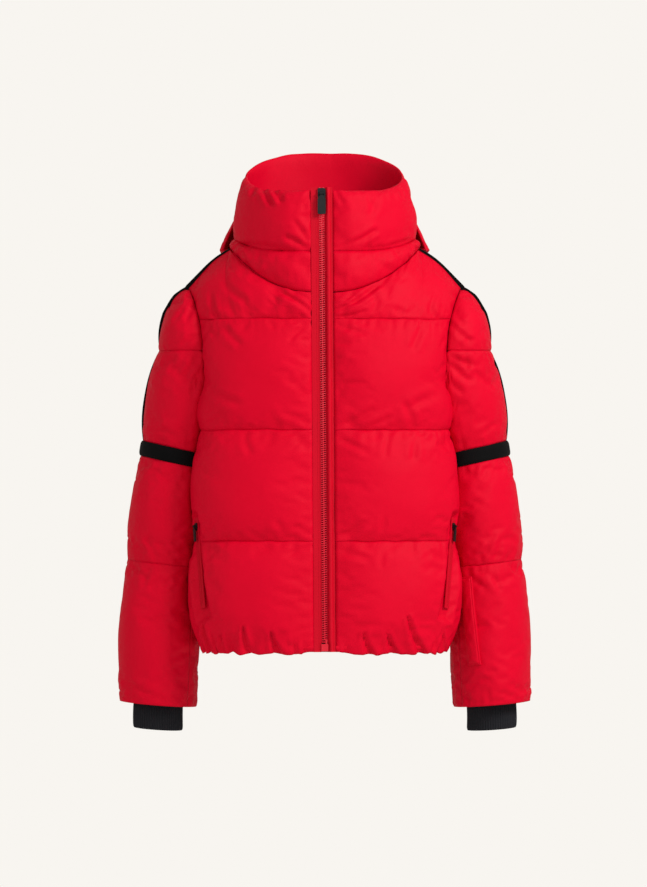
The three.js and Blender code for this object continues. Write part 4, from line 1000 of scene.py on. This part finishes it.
def sewInside():
    start = zipEdgeAngle(0)

    def casing(u, v):
        height = mix(inside["casingRise"] - inside["casingHeight"], inside["casingRise"], v)
        return aroundBody(mix(start, 360 - start, u), height)

    def ruffle(u, v):
        fold = abs(math.sin(u * 92 + 2.2 * noise.noise(Vector((u * 17, 1.7, 0))))) - 0.5
        return fold * 1.8 * math.sin(math.pi * min(max(v, 0.05), 0.95))

    def casingBack(u, v):
        return inside["casingHalf"] + inside["casingInset"] * (1 - v) - ruffle(u, v)

    def casingFront(u, v):
        swell = inside["casingHalf"] * math.sin(math.pi * mix(0.2, 0.9, v))
        return swell - inside["casingInset"] * (1 - v) + ruffle(u, v)

    pieces["casing"] = wallPiece("gathered_hem_casing", casing, casingBack, casingFront, 420, 5, "hem_binding")

    liningStart = math.degrees(math.asin((inside["flapHalfWidth"] + 6) / 193))

    def lining(u, v):
        return aroundBody(mix(liningStart, 360 - liningStart, u), mix(1, inside["linedHeight"], v))

    def depth(u, v):
        slack = 1.1 * noise.noise(Vector((u * 26, v * 5, 3))) + 0.5 * noise.noise(Vector((u * 70, v * 11, 8)))
        return mix(4.7, 8.6, ease(0, 0.1, v)) + slack * ease(0, 0.1, v)

    pieces["lining"] = wallPiece("jacket_lining", lining, lambda u, v: depth(u, v) + inside["liningThickness"],
                                 lambda u, v: -depth(u, v), 180, 46, "torso_lining", slotName="lining_fabric")

    def flap(u, v):
        height = mix(inside["flapBottom"], collar["neckFront"] - 6, v)
        across = mix(-inside["flapHalfWidth"], inside["flapHalfWidth"], u)
        sewn = 1 - ease(-inside["flapHalfWidth"] + 3, -16, across)
        back = zipDepth(height) + mix(inside["flapClearance"], inside["flapSewn"], sewn)
        x = across + zipLeanAt(height)
        bow = 1.2 * (x / inside["flapHalfWidth"]) ** 2 + 0.5 * noise.noise(Vector((u * 2, v * 14, 1)))
        return np.array([x, back + bow, height])

    def flapBack(u, v):
        return inside["flapThickness"] * (1 - abs(2 * u - 1) ** 8 * 0.6)

    pieces["flap"] = wallPiece("storm_flap", flap, flapBack, lambda u, v: 0, 14, 120, "wind_flap",
                               slotName="lining_fabric")

    half, foot, arch = inside["loopWidth"] / 2, inside["loopFoot"], inside["loopArch"]
    outline = [(-half, 0), (-half + foot - 1, 0), (-half + foot + 1.5, 1.4), (-half + arch + 2, arch * 0.86)]
    outline += [(-half + arch + 6, arch), (0, arch)]
    outline += [(-x, z) for x, z in outline[-2::-1]]
    path = np.array(outline)
    steps = np.concatenate([[0], np.cumsum(np.linalg.norm(np.diff(path, axis=0), axis=1))])
    steps = steps / steps[-1]

    def strap(u, v):
        x, z = np.interp(v, steps, path[:, 0]), np.interp(v, steps, path[:, 1])
        return np.array([x, inside["loopBack"] - inside["loopStrap"] * (1 - u), inside["loopHeight"] + z])

    pieces["loop"] = wallPiece("hanger_strap", strap, lambda u, v: 0, lambda u, v: 1.2, 6, 60, "hanger_loop",
                               slotName="zip_tape")


# Velvet trims: a band round each arm, and a strip over the shoulder and down the sleeve
def sewVelvet():
    for sideName, side in sides:
        def band(u, v):
            turn = 360 * u
            shift = mix(-sleeve["bandWidth"] / 2, sleeve["bandWidth"] / 2, v)
            return sleevePoint(turn, seamAt(turn, sleeve["band"] + shift, sleeve["bandDrop"]))

        def crown(u, v):
            away = sleevePress(360 * u)
            uneven = 0.5 * noise.noise(Vector((math.cos(6.283 * u) * 3, math.sin(6.283 * u) * 3, v + side)))
            return mix(1, 4.2, away) * (1 - 0.45 * abs(2 * v - 1) ** 5) + uneven * away

        pieces[f"{sideName}Band"] = wallPiece(f"{sideName}_velvet_arm_band", band, lambda u, v: 1, crown, 110, 8,
                                              f"{sideName}_arm_band", side, wrap=True, slotName="velvet")

        neck, tip = collarPoint(90, 0), armholePoint(180)
        capTop = armhole["top"] - 5

        def capTurn(depth, height):
            front, back = armholeAtHeight(height, 1), armholeAtHeight(height, -1)
            along = min(max(2 * (depth - front[1]) / (back[1] - front[1]) - 1, -0.97), 0.97)
            return math.degrees(math.asin(power(along, 1 / 0.85)))

        def strip(u, v):
            across = mix(-stripe["width"] / 2, stripe["width"] / 2, u)
            bend = stripe["bend"]
            over = np.array([mix(neck[0] + 3.5, tip[0] + 1, v / bend), mix(neck[1], tip[1], v / bend) + across,
                             mix(neck[2], tip[2], v / bend) + 6 * math.sin(math.pi * min(v / bend, 1)) + 0.3])
            if v < bend - 0.03:
                return over
            t = max((v - bend) / (1 - bend), 0)
            height = mix(capTop, sleeve["capSeam"], t)
            depth = tip[1] + stripe["backShift"] * t + across
            down = capPoint(capTurn(depth, height), height)
            share = ease(bend - 0.03, bend + 0.05, v)
            return mix(over, down, share) if v < bend + 0.05 else down

        def puffed(u, v):
            t = max((v - stripe["bend"]) / (1 - stripe["bend"]), 0)
            swell = rowProfile(np.array([1 - t]))[0] * (sleeve["puff"] + 3.5) if t > 0 else 0
            crest = 1.2 * math.sin(math.pi * min(v / stripe["bend"], 1)) ** 0.5 if v < stripe["bend"] else 0
            crest += stripe["corner"] * math.exp(-((v - stripe["bend"] - 0.04) / 0.11) ** 2)
            return 0.9 + swell + crest + stripe["crown"] * (1 - (2 * u - 1) ** 2) * (1 if t == 0 else 0.25)

        pieces[f"{sideName}Strip"] = wallPiece(
            f"{sideName}_velvet_shoulder_strip", strip, lambda u, v: stripe["root"], puffed, 10, 90,
            f"{sideName}_shoulder_stripe", side, slotName="velvet", flip=-1)

        def lower(u, v):
            across = mix(-stripe["width"] / 2, stripe["width"] / 2, u) / stripe["sleeveRadius"]
            return upperRowPoint(stripe["sleeveTurn"] + math.degrees(across), v)

        def over(u, v):
            return 1.5 + (sleeve["puff"] + 3) * (1 - abs(2 * v - 1) ** 2.4) + 0.8 * (1 - (2 * u - 1) ** 2)

        pieces[f"{sideName}Sleeve"] = wallPiece(
            f"{sideName}_velvet_sleeve_strip", lower, lambda u, v: 0, over, 10, 40,
            f"{sideName}_sleeve_stripe", side, slotName="velvet")


# Knitted cuffs, with a rib every few stitches, and the lining that joins them to the sleeve
knit = {
    "halfWidth": 34,
    "halfDepth": 38,
    "thickness": 3,
    "top": -60,
    "bottom": -121,
    "drop": 5,
    "ribs": 62,
    "facingTop": -52,
    "facingInset": 4.4 / 57,     # share of the way from the sleeve's wall to its middle
    "facingOverlap": 8,
    "facingClearance": 4.7,
}


def sleeveCore(turn, height, halfWidth, halfDepth):
    angle = math.radians(turn)
    return np.array([sleeveValue("centre", height) + halfWidth * math.cos(angle),
                     sleeveValue("middle", height) + halfDepth * math.sin(angle), height])


def knitCuffs():
    for sideName, side in sides:
        def tube(u, v):
            turn = 360 * u
            height = mix(seamAt(turn, knit["bottom"], knit["drop"]), knit["top"], v)
            angle = math.radians(turn)
            bag = 1 + 0.03 * noise.noise(Vector((math.cos(angle), math.sin(angle), side + v * 2)))
            return sleeveCore(turn, height, knit["halfWidth"] * bag, knit["halfDepth"] * bag)

        def rib(u, v):
            wave = math.cos(2 * math.pi * knit["ribs"] * u)
            end = min(v / 0.06, 1)
            return knit["thickness"] * (0.62 + 0.38 * math.sqrt(end)) + 0.55 * wave - (0.5 if 0.28 < v < 0.3 else 0)

        pieces[f"{sideName}Knit"] = wallPiece(
            f"{sideName}_ribbed_cuff", tube, lambda u, v: 0, rib, knit["ribs"] * 6, 26,
            f"{sideName}_knit_cuff", side, wrap=True, slotName="knit")

        def funnel(u, v):
            turn = 360 * u
            middle = sleeveCore(turn, knit["facingTop"], 0, 0)
            wall = mix(sleevePoint(turn, knit["facingTop"]), middle, knit["facingInset"])
            throat = sleeveCore(turn, knit["top"] - knit["facingOverlap"],
                                knit["halfWidth"] + knit["facingClearance"],
                                knit["halfDepth"] + knit["facingClearance"])
            pucker = 1.2 * math.sin(36 * math.radians(turn)) * math.sin(math.pi * v)
            return mix(throat, wall, v) + np.array([0, 0, pucker])

        pieces[f"{sideName}Funnel"] = wallPiece(
            f"{sideName}_cuff_facing", funnel, lambda u, v: 0.6, lambda u, v: 0.6, 144, 6,
            f"{sideName}_cuff_lining", side, wrap=True, slotName="lining_fabric")


# Small hard shapes are modelled once, in metres at the origin, and repeated along a zip or a seam
def placedAt(origin, across, inward, along, side=1):
    turn = Matrix(np.stack([across, inward, along], axis=1).tolist()).to_4x4()
    place = Matrix.Translation(Vector(toFrame(origin))) @ turn
    return Matrix.Scale(-1, 4, Vector((1, 0, 0))) @ place if side < 0 else place


def shiftAt(x, y, z, turn=0):
    return Matrix.Translation(Vector((x, y, z)) / 1000) @ Matrix.Rotation(math.radians(turn), 4, "Z")


def roundedBlock(name, width, depth, height, bevel, x=0, y=0, z=0):
    bpy.ops.mesh.primitive_cube_add(size=0.001)
    piece = bpy.context.object
    piece.name = name
    bpy.ops.object.mode_set(mode="EDIT")
    bpy.ops.transform.resize(value=(width, depth, height))
    bpy.ops.mesh.bevel(offset=bevel / 1000, segments=1, affect="EDGES")
    bpy.ops.transform.translate(value=Vector((x, y, z)) / 1000)
    bpy.ops.object.mode_set(mode="OBJECT")
    return piece


def joined(name, parts):
    bpy.ops.object.select_all(action="DESELECT")
    for part in parts:
        part.select_set(True)
    bpy.context.view_layer.objects.active = parts[0]
    bpy.ops.object.join()
    parts[0].name = name
    return parts[0]


def repeated(name, template, places):
    copies = []
    for place in places:
        copy = template.copy()
        copy.data = template.data.copy()
        copy.data.transform(place)
        if place.determinant() < 0:
            copy.data.flip_normals()
        bpy.context.scene.collection.objects.link(copy)
        copies.append(copy)
    bpy.data.objects.remove(template, do_unlink=True)
    return joined(name, copies)


# Front zip: moulded teeth on two woven tapes, and a raised fold of cloth beside the teeth on the wearer's left
frontZip = {
    "length": 687,
    "gap": 1.1,
    "outer": 3.9,
    "thickness": 2.8,
    "pitch": 3.3,
    "overlap": 1.25,
    "stopHeight": 4,
    "boxHeight": 11,
    "pinTop": 17,
    "belowHem": 1,
    "tapeHalf": 16,
    "tapeThickness": 1,
    "foldMiddle": 9.5,
    "foldHalf": 3.3,
    "foldRise": 4.2,
    "stitchAt": 8.2,
    "stitchPitch": 3.6,
}


def toothShape(size, head, name):
    width = size["outer"] + size["overlap"] - 0.2
    bar = roundedBlock(name, width, size["thickness"], size["pitch"] * 0.46, 0.35, size["outer"] - width / 2)
    root = roundedBlock(name, 1.5, size["thickness"] + 0.3, size["pitch"] * 0.7, 0.35, size["outer"] - 0.75)
    knob = roundedBlock(name, head, size["thickness"] - 0.2, size["pitch"] * 0.62, 0.3, head / 2 - size["overlap"])
    return joined(name, [bar, root, knob])


def frontZipPlace():
    along = np.array([zipLine["lean"], zipLine["bottomDepth"] - zipLine["topDepth"], zipLine["top"]], float)
    turn = Vector((0, 0, 1)).rotation_difference(Vector(along).normalized()).to_matrix().to_4x4()
    return Matrix.Translation(Vector(toFrame([0, -zipLine["bottomDepth"], 0]))) @ turn


def sewFrontZip():
    place = frontZipPlace()
    for sideName, side in sides:
        bottom = (frontZip["pinTop"] if side > 0 else frontZip["boxHeight"]) + 1.2
        top = frontZip["length"] - frontZip["stopHeight"] - 0.6
        start = bottom + (0 if side > 0 else frontZip["pitch"] / 2)
        heights = np.arange(start, top, frontZip["pitch"])
        mirror = Matrix.Scale(side, 4, Vector((1, 0, 0)))
        tooth = toothShape(frontZip, 1.5, f"{sideName}_tooth")
        teeth = repeated(f"{sideName}_zip_teeth", tooth, [place @ mirror @ shiftAt(0, 0, z) for z in heights])
        width = frontZip["outer"] - frontZip["gap"]
        stop = roundedBlock("stop", width, frontZip["thickness"] + 1.4, frontZip["stopHeight"], 0.5)
        stop = repeated("stop", stop, [place @ mirror @ shiftAt(frontZip["gap"] + width / 2, 0, top + 2.6)])
        teeth = joined(f"{sideName}_zip_teeth", [teeth, stop])
        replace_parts(teeth, f"zip_chain_{sideName}")
        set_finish(teeth, "zip_plastic")
        pieces[f"{sideName}Teeth"] = teeth

        def tape(u, v):
            height = mix(-frontZip["belowHem"], frontZip["length"], v)
            inner = frontZip["outer"] + (1.35 if height < frontZip["boxHeight"] + 1 else 0.3)
            local = Vector((mix(inner, frontZip["tapeHalf"], u) * side, 0, height)) / 1000
            return fromFrame((place @ local)[:])

        def face(u, v):
            x = mix(frontZip["outer"] + 0.3, frontZip["tapeHalf"], u)
            bead = 0.7 * math.exp(-((x - 4.9) / 0.7) ** 2)
            height = frontZip["tapeThickness"] / 2 + bead
            slack = 0.3 * noise.noise(Vector((v * 19, u * 2, side)))
            if side > 0:
                swell = max(1 - abs((x - frontZip["foldMiddle"] - slack) / frontZip["foldHalf"]) ** 2.2, 0)
                uneven = 1 + 0.14 * noise.noise(Vector((v * 33, 4, 1)))
                rise = frontZip["foldRise"] * uneven * (1 - 0.4 * ease(0.985, 1, v))
                height += rise * math.sqrt(swell)
            return height

        half = frontZip["tapeThickness"] / 2
        strip = wallPiece(f"{sideName}_zip_tape", tape, lambda u, v: half, face, 26, 170, slotName=None, flip=side)
        if side < 0:
            stitch = roundedBlock("stitch", 0.75, 0.55, frontZip["stitchPitch"] * 0.72, 0.18, 0, -half - 0.1)
            rowHeights = np.arange(2, frontZip["length"] - 3, frontZip["stitchPitch"])
            row = repeated("stitches", stitch, [place @ shiftAt(-frontZip["stitchAt"], 0, z) for z in rowHeights])
            strip = joined(f"{sideName}_zip_tape", [strip, row])
        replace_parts(strip, f"zip_tape_{sideName}")
        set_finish(strip, "zip_tape")
        pieces[f"{sideName}Tape"] = strip


# Hand pocket zips, their stitched edges and the bags behind them
pocketTooth = {"outer": 2.5, "overlap": 0.8, "thickness": 2, "pitch": 2.5}
bag = {"from": 38, "to": 84, "bottom": 44, "top": 205, "near": 4.5, "thickness": 2.4}


def sewPockets():
    seat, across, inward, along, length = pocketFrame()
    for sideName, side in sides:
        place = placedAt(seat, across, inward, along, side)

        def tape(u, v):
            return seat + across * pocket["tapeWidth"] * (u - 0.5) + along * length * (v - 0.5)

        def weave(u, v):
            x = abs(u - 0.5) * pocket["tapeWidth"]
            return pocket["tapeThickness"] / 2 + 0.4 * math.exp(-((x - 3.1) / 0.5) ** 2)

        half = pocket["tapeThickness"] / 2
        strip = wallPiece(f"{sideName}_pocket_zip", tape, lambda u, v: half, weave, 26, 40, side=side,
                          slotName=None)
        reach = length / 2 - pocket["tapeEnd"]
        parts = [strip]
        for edge in (1, -1):
            tooth = toothShape(pocketTooth, 1, "tooth")
            start = -reach + (0.6 if edge > 0 else 0.6 + pocketTooth["pitch"] / 2)
            flipped = Matrix.Scale(edge, 4, Vector((1, 0, 0)))
            zs = np.arange(start, reach, pocketTooth["pitch"])
            parts.append(repeated("teeth", tooth, [place @ flipped @ shiftAt(0, 0, z) for z in zs]))
            stitch = roundedBlock("stitch", 0.6, 0.5, 2.1, 0.15, 0, -half - 0.1)
            zs = np.arange(-length / 2 + 2, length / 2 - 1, 3)
            parts.append(repeated("row", stitch, [place @ shiftAt(edge * 5.1, 0, z) for z in zs]))
        piece = joined(f"{sideName}_pocket_zip_teeth_and_tape", parts)
        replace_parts(piece, f"{sideName}_pocket_zip")
        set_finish(piece, "zip_tape")
        pieces[f"{sideName}PocketZip"] = piece

        def behind(u, v):
            return torsoPoint(mix(bag["from"], bag["to"], u), mix(bag["bottom"], bag["top"], v))

        def slack(u, v):
            return 0.3 * noise.noise(Vector((u * 6, v * 6, side)))

        pieces[f"{sideName}Bag"] = wallPiece(
            f"{sideName}_pocket_bag_cloth", behind, lambda u, v: bag["near"] + bag["thickness"] + slack(u, v),
            lambda u, v: -bag["near"] + slack(u, v), 40, 44, f"{sideName}_pocket_bag", side,
            slotName="lining_fabric")


# Pass pocket on the wearer's left forearm: a narrow padded welt, stitched down round its edge
passPocket = {
    "top": 128,
    "bottom": -18,
    "width": 22,
    "sleeveRadius": 64,
    "rise": 2.8,
    "topTurn": 239,
    "bottomTurn": 247,
    "stitch": 2.4,
    "root": 5.5,     # how deep the welt's underside is sunk in the cloth
}


def sewPassPocket():
    half = math.degrees(passPocket["width"] / 2 / passPocket["sleeveRadius"])

    def turnAt(u, v):
        return mix(passPocket["bottomTurn"], passPocket["topTurn"], v) + mix(-half, half, u)

    def heightAt(v):
        return mix(passPocket["bottom"], passPocket["top"] - sleeve["elbowDrop"], v)

    def shareAt(v):
        return (heightAt(v) - sleeve["hem"]) / (sleeve["elbow"] - sleeve["hem"])

    def welt(u, v):
        return cuffRowPoint(turnAt(u, v), shareAt(v))

    def seat(u, v):
        row = rowProfile(np.array([shareAt(v)]))[0]
        return body["seamHalf"] + sleeve["puff"] * row * sleevePress(turnAt(u, v)) + 0.9

    def crown(u, v):
        aside = min(u, 1 - u) * passPocket["width"]
        ends = min(v, 1 - v) * (passPocket["top"] - passPocket["bottom"] - sleeve["elbowDrop"])
        edge = min(aside, ends)
        swell = 1 - math.exp(-edge / 3.2)
        groove = 0.9 * math.exp(-((edge - passPocket["stitch"]) / 0.55) ** 2)
        uneven = 0.8 * noise.noise(Vector((u * 3, v * 11, 2))) * swell
        return seat(u, v) + 1.2 + passPocket["rise"] * swell - groove + uneven

    piece = wallPiece("pass_pocket_welt", welt, lambda u, v: passPocket["root"] - seat(u, v), crown, 34, 190,
                      "left_pass_pocket_welt")
    pieces["passPocket"] = piece


sewInside()
sewVelvet()
knitCuffs()
sewFrontZip()
sewPockets()
sewPassPocket()
print("trims and zips made:", len(pieces))


# Materials. Shade wraps a socket, so that a sum of sockets reads like a sum.
class Shade:
    def __init__(self, tree, socket=None):
        self.tree = tree
        self.socket = socket

    def node(self, kind, settings=None, values=None, output=0):
        made = self.tree.nodes.new(kind)
        for field, value in (settings or {}).items():
            setattr(made, field, value)
        for key, value in (values or {}).items():
            if isinstance(value, Shade):
                self.tree.links.new(value.socket, made.inputs[key])
            else:
                made.inputs[key].default_value = value
        return Shade(self.tree, made.outputs[output])

    def maths(self, operation, *terms):
        return self.node("ShaderNodeMath", {"operation": operation}, dict(enumerate(terms)))

    def __add__(self, other):
        return self.maths("ADD", self, other)

    def __radd__(self, other):
        return self.maths("ADD", other, self)

    def __sub__(self, other):
        return self.maths("SUBTRACT", self, other)

    def __rsub__(self, other):
        return self.maths("SUBTRACT", other, self)

    def __mul__(self, other):
        return self.maths("MULTIPLY", self, other)

    def __rmul__(self, other):
        return self.maths("MULTIPLY", other, self)

    def sine(self):
        return self.maths("SINE", self)

    def clamped(self):
        return self.node("ShaderNodeClamp", None, {0: self})

    def between(self, low, high):
        return self.node("ShaderNodeMapRange", {"interpolation_type": "SMOOTHSTEP"}, {0: self, 1: low, 2: high})

    def blendColour(self, low, high):
        colours = {0: self, 6: (*low, 1), 7: (*high, 1)}
        return self.node("ShaderNodeMix", {"data_type": "RGBA"}, colours, output=2)


def startMaterial(name):
    material = bpy.data.materials.new(name)
    material.use_nodes = True
    tree = material.node_tree
    surface = tree.nodes["Principled BSDF"]
    return material, Shade(tree), surface


def noiseAt(shade, vector, scale, detail=3.0, roughness=0.55):
    return shade.node("ShaderNodeTexNoise", None, {"Vector": vector, "Scale": scale, "Detail": detail,
                                                   "Roughness": roughness})


# connects colour, roughness and bump to the surface; for woven cloth the colour carries painted shade near the
# seams
def feedSurface(shade, surface, colour, roughness, height, strength, distance):
    tree = shade.tree
    bump = shade.node("ShaderNodeBump", None, {"Height": height, "Strength": strength, "Distance": distance})
    tree.links.new(bump.socket, surface.inputs["Normal"])
    tree.links.new(colour.socket, surface.inputs["Base Color"])
    tree.links.new(roughness.socket, surface.inputs["Roughness"])


# Woven cloth: warp and weft on the weave map, creases near the seams, small changes of colour, and painted shade
# that darkens the colour near the seams
def weaveMaterial(name, dark, light, pitch, creases, roughness, sheen, sheenTint, specular, twill=True):
    material, shade, surface = startMaterial(name)
    uv = shade.node("ShaderNodeUVMap", {"uv_map": "weave"})
    parts = uv.node("ShaderNodeSeparateXYZ", None, {0: uv})
    across = parts
    upward = Shade(shade.tree, parts.socket.node.outputs[1])
    place = shade.node("ShaderNodeTexCoord", output=3)
    turns = 2 * math.pi / pitch
    if twill:
        threads = ((across + upward) * turns).sine() * 0.5 + ((across - upward) * (turns * 0.5)).sine() * 0.2
    else:
        threads = (across * turns).sine() * (upward * turns).sine()
    seam = shade.node("ShaderNodeAttribute", {"attribute_type": "GEOMETRY", "attribute_name": "seam"}, output=2)
    near = 1 - seam.between(0.004, 0.03)
    soft = noiseAt(shade, place, 14.0)
    fine = noiseAt(shade, place, 110.0, 4.0)
    crease = noiseAt(shade, place, 60.0, 2.0)
    height = threads * 0.00005 + (fine - 0.5) * (0.0003 * creases) * (near * 0.8 + 0.3)
    height = height + (crease - 0.5) * (0.0012 * creases) * (near * 0.8 + 0.1)
    # painted shade: the colour darkens within about 30 mm of a seam, standing in for shade in the seam grooves
    toneAndSeamShade = (soft * 0.55 + fine * 0.25 + 0.1 - near * 0.12 + threads * 0.06).clamped()
    colour = toneAndSeamShade.blendColour(dark, light)
    rough = roughness + (soft - 0.5) * 0.16
    feedSurface(shade, surface, colour, rough, height, 1.0, 1.0)
    surface.inputs["Specular IOR Level"].default_value = specular
    surface.inputs["Sheen Weight"].default_value = sheen
    surface.inputs["Sheen Roughness"].default_value = 0.45
    surface.inputs["Sheen Tint"].default_value = (*sheenTint, 1)
    return material


def velvetMaterial():
    material, shade, surface = startMaterial("velvet")
    place = shade.node("ShaderNodeTexCoord", output=3)
    pile = noiseAt(shade, place, 900.0, 2.0)
    brushed = noiseAt(shade, place, 38.0, 3.0)
    colour = (brushed * 0.7 + pile * 0.3).clamped().blendColour((0.0012, 0.0012, 0.0013), (0.0065, 0.0062, 0.0064))
    rough = 0.86 + (brushed - 0.5) * 0.16
    feedSurface(shade, surface, colour, rough, pile * 0.0004 + brushed * 0.0008, 1.0, 1.0)
    surface.inputs["Specular IOR Level"].default_value = 0.05
    surface.inputs["Sheen Weight"].default_value = 0.02
    surface.inputs["Sheen Roughness"].default_value = 0.4
    return material


def knitMaterial():
    material, shade, surface = startMaterial("rib_knit")
    uv = shade.node("ShaderNodeUVMap", {"uv_map": "weave"})
    parts = uv.node("ShaderNodeSeparateXYZ", None, {0: uv})
    upward = Shade(shade.tree, parts.socket.node.outputs[1])
    place = shade.node("ShaderNodeTexCoord", output=3)
    loops = (upward * 3400.0 + (parts * 3900.0).sine() * 1.4).sine() * 0.5 + 0.5
    fuzz = noiseAt(shade, place, 420.0, 3.0)
    colour = (loops * 0.5 + fuzz * 0.5).clamped().blendColour((0.005, 0.005, 0.006), (0.021, 0.021, 0.026))
    rough = 0.9 + (fuzz - 0.5) * 0.12
    feedSurface(shade, surface, colour, rough, loops * 0.00035 + fuzz * 0.0003, 1.0, 1.0)
    surface.inputs["Specular IOR Level"].default_value = 0.1
    surface.inputs["Sheen Weight"].default_value = 0.03
    return material


def plainMaterial(name, dark, light, roughness, metallic, grain, coat=0.0):
    material, shade, surface = startMaterial(name)
    place = shade.node("ShaderNodeTexCoord", output=3)
    cloudy = noiseAt(shade, place, 160.0, 4.0)
    speck = noiseAt(shade, place, 1500.0, 2.0)
    colour = (cloudy * 0.7 + speck * 0.3).clamped().blendColour(dark, light)
    rough = roughness + (cloudy - 0.5) * 0.2 + (speck - 0.5) * 0.1
    feedSurface(shade, surface, colour, rough, speck * grain + cloudy * grain, 1.0, 1.0)
    surface.inputs["Metallic"].default_value = metallic
    surface.inputs["Coat Weight"].default_value = coat
    surface.inputs["Specular IOR Level"].default_value = 0.35
    return material


shellFabric = weaveMaterial("shell_fabric", (0.55, 0.0, 0.014), (0.67, 0.0, 0.021), 0.0009, 1.0, 0.55, 0.0,
                            (1, 0.25, 0.3), 0.06)
liningFabric = weaveMaterial("lining_fabric", (0.2, 0.0, 0.006), (0.3, 0.001, 0.01), 0.0007, 0.7, 0.5, 0.08,
                             (1, 0.4, 0.4), 0.25, twill=False)
tapeFabric = weaveMaterial("zip_tape", (0.45, 0.0, 0.01), (0.62, 0.0, 0.018), 0.0012, 0.25, 0.6, 0.0,
                           (1, 0.3, 0.3), 0.1)
velvet = velvetMaterial()
ribKnit = knitMaterial()
zipPlastic = plainMaterial("zip_plastic", (0.5, 0.001, 0.014), (0.7, 0.002, 0.024), 0.34, 0.0, 0.00002, 0.15)
zipMetal = plainMaterial("zip_metal", (0.0015, 0.0015, 0.002), (0.005, 0.005, 0.006), 0.5, 0.2, 0.00003)
blackWebbing = plainMaterial("webbing", (0.004, 0.004, 0.004), (0.012, 0.012, 0.012), 0.8, 0.0, 0.00006)
slotMaterial = {
    "shell_fabric": shellFabric,
    "lining_fabric": liningFabric,
    "velvet": velvet,
    "knit": ribKnit,
    "zip_tape": tapeFabric,
    "zip_plastic": zipPlastic,
    "zip_metal": zipMetal,
}


def dress(piece, material):
    piece.data.materials.clear()
    piece.data.materials.append(material)


for pad in pads:
    dress(pad["piece"], shellFabric)
for piece in pieces.values():
    dress(piece, slotMaterial[piece.get("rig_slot", "shell_fabric")])
dress(pieces["loop"], blackWebbing)
print("materials made")


# Each piece is parented to the body of the part of the jacket it is sewn to; a piece that crosses a joint only has
# its transform baked into its mesh and is not parented
bends = {
    "shoulder": ([200, 30, 361.4], [222.5, 30, 322.4]),
    "elbow": ([231, 30, 262], [231, 30, 136]),
    "hood": ([0, 85, 590], [0, 169.7, 657.8]),
}


def bendPiece(piece, bend, side=1):
    start, end = (toFrame(np.array(point) * [side, 1, 1]) for point in bends[bend])
    Vector(start)
    Vector(end)
    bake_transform(piece)


def hang(piece, node):
    sideName = node.split("_")[0]
    side = -1 if sideName == "right" else 1
    if node.startswith("hood"):
        bendPiece(piece, "hood")
    elif node.endswith(("upper_baffle", "sleeve_stripe")):
        bendPiece(piece, "shoulder", side)
    elif node.endswith("elbow_baffle"):
        bendPiece(piece, "elbow", side)
    elif node.endswith("arm_band"):
        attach(piece, f"{sideName}_arm")
    elif node.endswith(("cuff_baffle", "cuff_lining", "knit_cuff", "pocket_welt")):
        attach(piece, f"{sideName}_forearm")
    else:
        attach(piece, "torso")


for piece in [pad["piece"] for pad in pads] + list(pieces.values()):
    hang(piece, piece["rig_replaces"][0])

# Sliders, pulls, retainer box and insert pin are the hard parts themselves, with softened edges
for node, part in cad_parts.items():
    if part.hide_render:
        continue
    dress(part, zipPlastic if node in ("zip_retainer_box", "zip_insert_pin") else zipMetal)
    softened = part.modifiers.new("softened", "BEVEL")
    softened.width = 0.0003
    softened.segments = 2
    softened.limit_method = "ANGLE"
print("pieces hung")


# Studio: pale seamless backdrop, pale floor, one strong soft light and two weaker ones
def areaLight(name, place, aim, energy, size):
    light = bpy.data.lights.new(name, "AREA")
    light.energy, light.size = energy, size
    lamp = bpy.data.objects.new(name, light)
    bpy.context.scene.collection.objects.link(lamp)
    lamp.location = place
    lamp.rotation_euler = (Vector(aim) - Vector(place)).to_track_quat("-Z", "Y").to_euler()


areaLight("key", (2.1, -1.9, 1.4), (0.05, -0.05, -0.32), studio["key"], 1.1)
areaLight("side", (-2.6, -1.2, 0.1), (-0.1, 0, -0.35), studio["side"], 1.6)
areaLight("front", (0.3, -3.4, 0.9), (0, 0, -0.3), studio["front"], 2.0)

world = bpy.data.worlds.new("studio")
bpy.context.scene.world = world
world.use_nodes = True
sky = Shade(world.node_tree)
background = world.node_tree.nodes["Background"]
seen = sky.node("ShaderNodeLightPath")
strength = studio["fill"] + (1 - studio["fill"]) * seen
background.inputs["Color"].default_value = (*studio["backdrop"], 1)
world.node_tree.links.new(strength.socket, background.inputs["Strength"])

bpy.ops.mesh.primitive_circle_add(vertices=96, radius=studio["floorRadius"], fill_type="NGON")
floor = bpy.context.object
floor.name = "studio_floor"
floorLevel = (studio["floorHeight"] - hangerPoint["height"]) / 1000
floor.data.transform(Matrix.Translation((0, studio["floorDepth"], floorLevel)))
floorMaterial = plainMaterial("floor", (0.78, 0.76, 0.72), (0.84, 0.82, 0.79), 0.8, 0.0, 0.00001)
dress(floor, floorMaterial)

bpy.context.scene.view_settings.view_transform = "Standard"
lens = bpy.data.cameras.new("camera")
lens.lens = camera["lens"]
viewpoint = bpy.data.objects.new("camera", lens)
bpy.context.scene.collection.objects.link(viewpoint)
viewpoint.location = (camera["x"], -camera["distance"], (camera["height"] - hangerPoint["height"]) / 1000)
viewpoint.rotation_euler = (math.radians(90), 0, 0)
bpy.context.scene.camera = viewpoint

print("jacket done")
